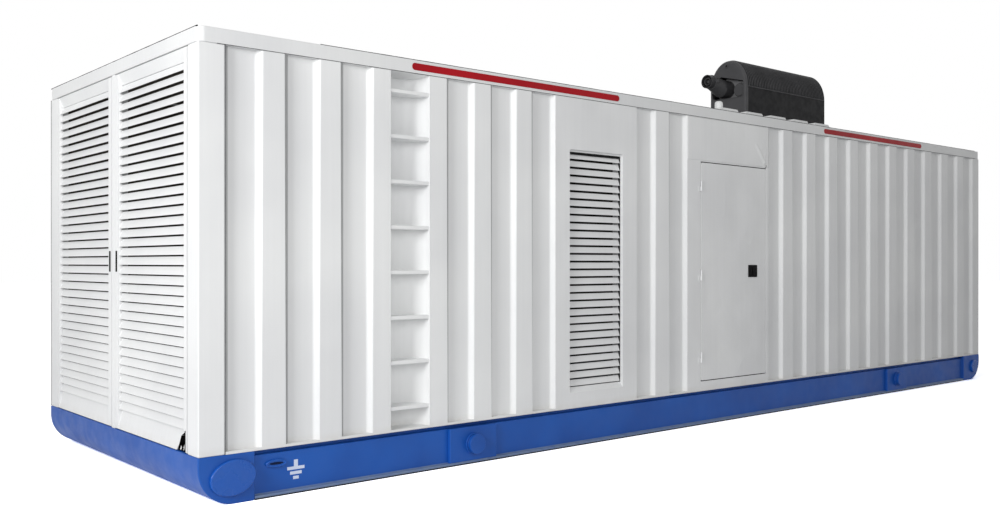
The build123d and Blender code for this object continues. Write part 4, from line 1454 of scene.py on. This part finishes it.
@dataclass
class SideDoor:
    """The personnel door, its latch, its hinges and the seal round its opening."""

    gap: float = 6 * MM
    seal_thickness: float = 2 * MM
    seal_setback: float = 2 * MM
    corner_clear: float = 14 * MM
    hinge_lip: float = 4 * MM
    latch_lip: float = 3 * MM
    curl_x_and_rise: tuple[Pair, ...] = ((0.452, -MM), (0.466, MM), (0.475, 11 * MM), (0.477, 25 * MM))
    latch_barrel_mm: tuple[Pair, ...] = ((0, 0), (0, 11), (6, 11), (6, 0))
    lever_half: float = 11 * MM
    lever_proud: float = 4 * MM
    skin_grid: tuple[int, int] = (120, 40)
    skin_margin: float = 4 * MM
    skin_fade: float = 30 * MM
    skin_proud: float = 0.4 * MM
    buckle_apex: Pair = (0.452, 2.062)
    buckle_tips: tuple[tuple[Pair, float], ...] = (((0.345, 2.195), 7.0 * MM), ((0.470, 2.165), 3.5 * MM))
    buckle_width: float = 11 * MM
    bulge_place: Pair = (0.41, 2.16)
    bulge_width: float = 60 * MM
    bulge_height: float = 5.0 * MM

    def build(self) -> None:
        """Rounds the door's pieces and adds the latch, the seal and the buckle over the door."""
        fine = Rounding(1.0, 2)
        rounded_copy("side_door_leaf", "side_door_skin", Slot.DOOR, Rounding(2.0, 2), body=Body.SIDE_DOOR)
        rounded_copy("side_door_hinge_leaves", "side_door_hinge_halves", Slot.DOOR, fine, coat=Extra.OUTER,
                     body=Body.SIDE_DOOR)
        rounded_copy("jamb_hinge_leaves", "jamb_hinge_halves", Slot.DOOR, fine, coat=Extra.OUTER)
        self.latch()
        self.seal()
        self.head_buckle()

    def latch(self) -> None:
        """A moulded cup with a pull lever standing in it."""
        low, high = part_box("side_door_latch")
        face, width, height = low.y, high.x - low.x, high.z - low.z
        cup = Rounding(9.0, 4, lambda _middle, way: abs(way.y) > 0.99).apply(bar(low, high))
        Rounding(1.6, 2, lambda middle, _way: middle.y < face + MM).apply(cup)
        lever_x, lever_end = low.x + width * 0.55, height * 0.16
        lever = bar((lever_x - self.lever_half, face - self.lever_proud, low.z + lever_end),
                    (lever_x + self.lever_half, face + 3 * MM, high.z - lever_end))
        barrel = turned(self.latch_barrel_mm, 0.0, (0.0, 0.0), 28)
        for vert in barrel.verts:
            x, y, z = vert.co
            vert.co = (low.x + width * 0.24 + z, face - 2 * MM + x, low.z + height * 0.5 + y)
        bmesh.ops.recalc_face_normals(barrel, faces=barrel.faces)
        piece = joined_meshes("side_door_latch_cup", (cup, Rounding(3.0, 3).apply(lever), barrel))
        finished(smooth_shaded(piece), Slot.PLASTIC, "side_door_latch", body=Body.SIDE_DOOR)

    def seal(self) -> None:
        """Rubber at the opening's head and sill and white lips at its sides, clear of the leaf's swing."""
        leaf_low, leaf_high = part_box("side_door_leaf")
        left, right = leaf_low.x - self.gap, leaf_high.x + self.gap
        bottom, top = leaf_low.z - self.gap, leaf_high.z + self.gap
        near, far = leaf_low.y + self.seal_setback, leaf_high.y - 2 * MM
        thin, over, clear = self.seal_thickness, 0.5 * MM, self.corner_clear
        lips = [bar((left - over, near, bottom + clear), (left + self.hinge_lip, far, top - clear)),
                bar((right - self.latch_lip, near, bottom + clear), (right + over, far, top - clear))]
        finished(joined_meshes("side_doorway_lips", lips), Slot.DOOR, coat=Extra.OUTER)
        strips = [bar((left + clear, near, top - thin), (right - clear, far, top + over)),
                  bar((left + clear, near, bottom - over), (right - clear, far, bottom + thin))]
        curl = [Vector((x, leaf_low.y - MM, top + rise)) for x, rise in self.curl_x_and_rise]
        curl[0].y += 0.6 * MM
        bead = beaded(path_of(*curl), Extra.SEAL_AND_SHADE, 2.0, 4, 0.1, 4)
        piece = joined("side_door_seal", [bead, *(linked("strip", strip) for strip in strips)])
        finished(piece, Slot.PLASTIC, coat=Extra.SEAL_AND_SHADE)

    def head_buckle(self) -> None:
        """The skin over the door, with the V-shaped buckle above the door's free corner."""
        low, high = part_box("doorway_head_and_sill")
        jamb_low, jamb_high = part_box("doorway_jambs")
        across = (jamb_low.x + self.skin_margin, jamb_high.x - self.skin_margin)
        levels = (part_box("side_door_leaf")[1].z + self.corner_clear, high.z - self.skin_margin)
        columns, rows = self.skin_grid
        xs = [across[0] + (across[1] - across[0]) * i / columns for i in range(columns + 1)]
        zs = [levels[0] + (levels[1] - levels[0]) * row / rows for row in range(rows + 1)]
        mesh = thin_sheet([[(x, low.y - self.lift(x, z, across, levels), z) for x in xs] for z in zs],
                          [[(x, low.y + 2 * MM, z) for x in xs] for z in zs])
        piece = linked("doorway_head_skin", mesh)
        piece.data.shade_smooth()
        finished(piece, Slot.DOOR)

    def lift(self, x: float, z: float, across: Pair, levels: Pair) -> float:
        """How far the skin over the door stands out at one place.

        Args:
            x: The place along the wall.
            z: The level.
            across: The skin's ends.
            levels: The skin's lowest and highest level.

        Returns:
            The lift in metres, nearly nought at the skin's edges.
        """
        fade = min(1.0, max(0.0, min(x - across[0], across[1] - x, z - levels[0], levels[1] - z) / self.skin_fade))
        here, apex = Vector((x, z)), Vector(self.buckle_apex)
        total = 0.0
        for tip, depth in self.buckle_tips:
            way = Vector(tip) - apex
            along = max(0.0, min(1.0, (here - apex).dot(way) / way.length_squared))
            away = (here - apex - way * along).length
            total += depth * math.exp(-(away / self.buckle_width) ** 2) * (1 - 0.5 * along)
        bulge = (here - Vector(self.bulge_place)).length
        total += self.bulge_height * math.exp(-(bulge / self.bulge_width) ** 2)
        return self.skin_proud + total * fade


@dataclass(frozen=True)
class Flake:
    """One crumpled strip of torn skin, a closed thin sheet, with its sizes in millimetres.

    Its start is measured from the leaf's hinge edge, its foot and top from the leaf's lower edge,
    and its depth from the leaf's face. Its number sets its crumple.
    """

    number: int
    start: float
    width: float
    top: float
    depth: float
    lean: float
    foot: float = 2.0
    thickness: float = 1.2
    crumple: float = 9.0
    steps: int = 8

    def build(self, corner: Vector) -> bmesh.types.BMesh:
        """Makes the strip at the leaf's lower hinge corner."""
        return thin_sheet(*([[corner + self.place(step, side, back) * MM for side in (-1.0, -0.33, 0.33, 1.0)]
                             for step in range(self.steps + 1)] for back in (0.0, self.thickness)))

    def place(self, step: int, side: float, back: float) -> Vector:
        """One corner of the strip.

        Args:
            step: The corner's step from the foot up.
            side: Its place across, from minus one to one.
            back: How far it lies behind the strip's front.

        Returns:
            Its place from the leaf's corner.
        """
        part = step / self.steps
        half = self.width * 0.5 * (1 - 0.82 * part ** 1.6)
        crumple = self.crumple * noise(Vector((self.number * 3.7, side * 1.3, step * 0.55)))
        return Vector((self.depth + back + crumple + 6 * part,
                       self.start + self.width * 0.5 + self.lean * part + side * half + 0.6 * crumple,
                       self.foot + (self.top - self.foot) * part))


@dataclass
class EndDoors:
    """The two louvred leaves, with the torn sill of the right one."""

    blade_rise: float = 43.5 * MM
    pull_proud: float = 4.6 * MM
    pull_margin: float = 5 * MM
    grip_half: float = 30 * MM
    tear_behind: float = 46.0
    tear_outline_mm: tuple[Pair, ...] = ((14, 1), (128, 1), (84, 79), (14, 114))
    tear_slopes_mm: tuple[tuple[float, ...], ...] = ((129, 1, 84, 80), (84, 80, 38, 103))
    flakes: tuple[Flake, ...] = (Flake(0, 92, 16, 24, 10, 6), Flake(1, 66, 13, 34, 14, -6), Flake(2, 42, 9, 22, 14, 6))

    def build(self) -> None:
        """Rounds the frames, builds the blades and the handles, and fills the tear."""
        for side, body, seed in (("right", Body.END_DOOR_RIGHT, 21), ("left", Body.END_DOOR_LEFT, 22)):
            leaf = f"end_door_{side}"
            rounded_copy(leaf + "_frame", leaf + "_folded_frame", Slot.WHITE, Rounding(2.0, 2), coat=Extra.OUTER,
                         body=body)
            low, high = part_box(leaf + "_louvre")
            pack = BladePack(high.y - low.y, high.x - low.x, self.blade_rise, low.z, high.z,
                             Vector((low.x, low.y, 0)), Vector((0, 1, 0)), Vector((1, 0, 0)), seed)
            blades = joined(leaf + "_blades", [pack.blades(), *pack.channels()])
            finished(smooth_shaded(blades), Slot.WHITE, leaf + "_louvre", body=body)
            self.handle(leaf, body)
        rounded_copy("end_door_pivots", "end_door_pivot_pins", Slot.PIN, Rounding(1.0, 1))
        self.tear()

    def handle(self, leaf: str, body: Body) -> None:
        """A black pull let into the leaf, with a finger hollow.

        Args:
            leaf: The leaf's plain name.
            body: The leaf's body.
        """
        low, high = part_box(leaf + "_handle")
        middle, face = (low.z + high.z) / 2, low.x - self.pull_proud
        plate = bar((face, low.y - self.pull_margin, low.z), (high.x, high.y + self.pull_margin, high.z))
        grip = bar((face - MM, low.y + 4 * MM, middle - self.grip_half),
                   (low.x, high.y - 4 * MM, middle + self.grip_half))
        piece = joined_meshes(leaf + "_pull", (Rounding(2.0, 2).apply(plate), Rounding(1.5, 2).apply(grip)))
        finished(smooth_shaded(piece), Slot.PLASTIC, leaf + "_handle", body=body)

    def tear(self) -> None:
        """The torn sill's hollow, filled with dark plates of painted shade, with crumpled strips of skin hanging in it.
        """
        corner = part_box("end_door_right_frame")[0]

        def at(x: float, y: float, z: float) -> Vector:
            """A place in millimetres from the leaf's lower hinge corner on its face."""
            return corner + Vector((x, y, z)) * MM

        parts = [swept([at(44, y, z) for y, z in self.tear_outline_mm], Vector((6 * MM, 0, 0))),
                 bar(at(5.2, 13.5, 1), at(6.6, 37, 112)),
                 bar(at(5.2, 36.6, 1), at(self.tear_behind, 38, 100)),
                 bar(at(8, 37, 0.5), at(self.tear_behind, 126, 2))]
        for a, b, c, d in self.tear_slopes_mm:
            edge = ((a - 1.5, b), (c - 1.5, d - 1), (c - 3, d - 2.5), (a - 3, b))
            parts.append(swept([at(6.5, y, z) for y, z in edge], Vector((38 * MM, 0, 0))))
        # The dark plates are painted shade in the hollow.
        finished(joined_meshes("end_door_tear_painted_shade", parts), Slot.PLASTIC, coat=Extra.TEAR_SHADE, body=Body.END_DOOR_RIGHT)
        piece = joined_meshes("end_door_torn_skin", (flake.build(corner) for flake in self.flakes))
        piece.data.shade_smooth()
        finished(piece, Slot.WHITE, coat=Extra.OUTER, body=Body.END_DOOR_RIGHT)


def dress_remaining_nodes() -> None:
    """Gives each CAD node that is still shown its slot's finish."""
    slots = {part["node"]: Slot(part["material_slot"]) for part in frame["record"]["subparts"]}
    for name, node in frame["nodes"].items():
        node.data.materials.clear()
        node.data.materials.append(MATERIALS[slots[name]])


def main() -> None:
    """Builds every sub-assembly in order."""
    logging.basicConfig(level=logging.INFO, format="%(name)s %(message)s")
    dress_remaining_nodes()
    PhotoCamera().build()
    Studio().build()
    for assembly in (SteelBase(), Shell(), Roof(), Silencer(), SideDoor(), EndDoors()):
        LOG.info("building %s", type(assembly).__name__)
        assembly.build()


if __name__ == "__main__":
    main()
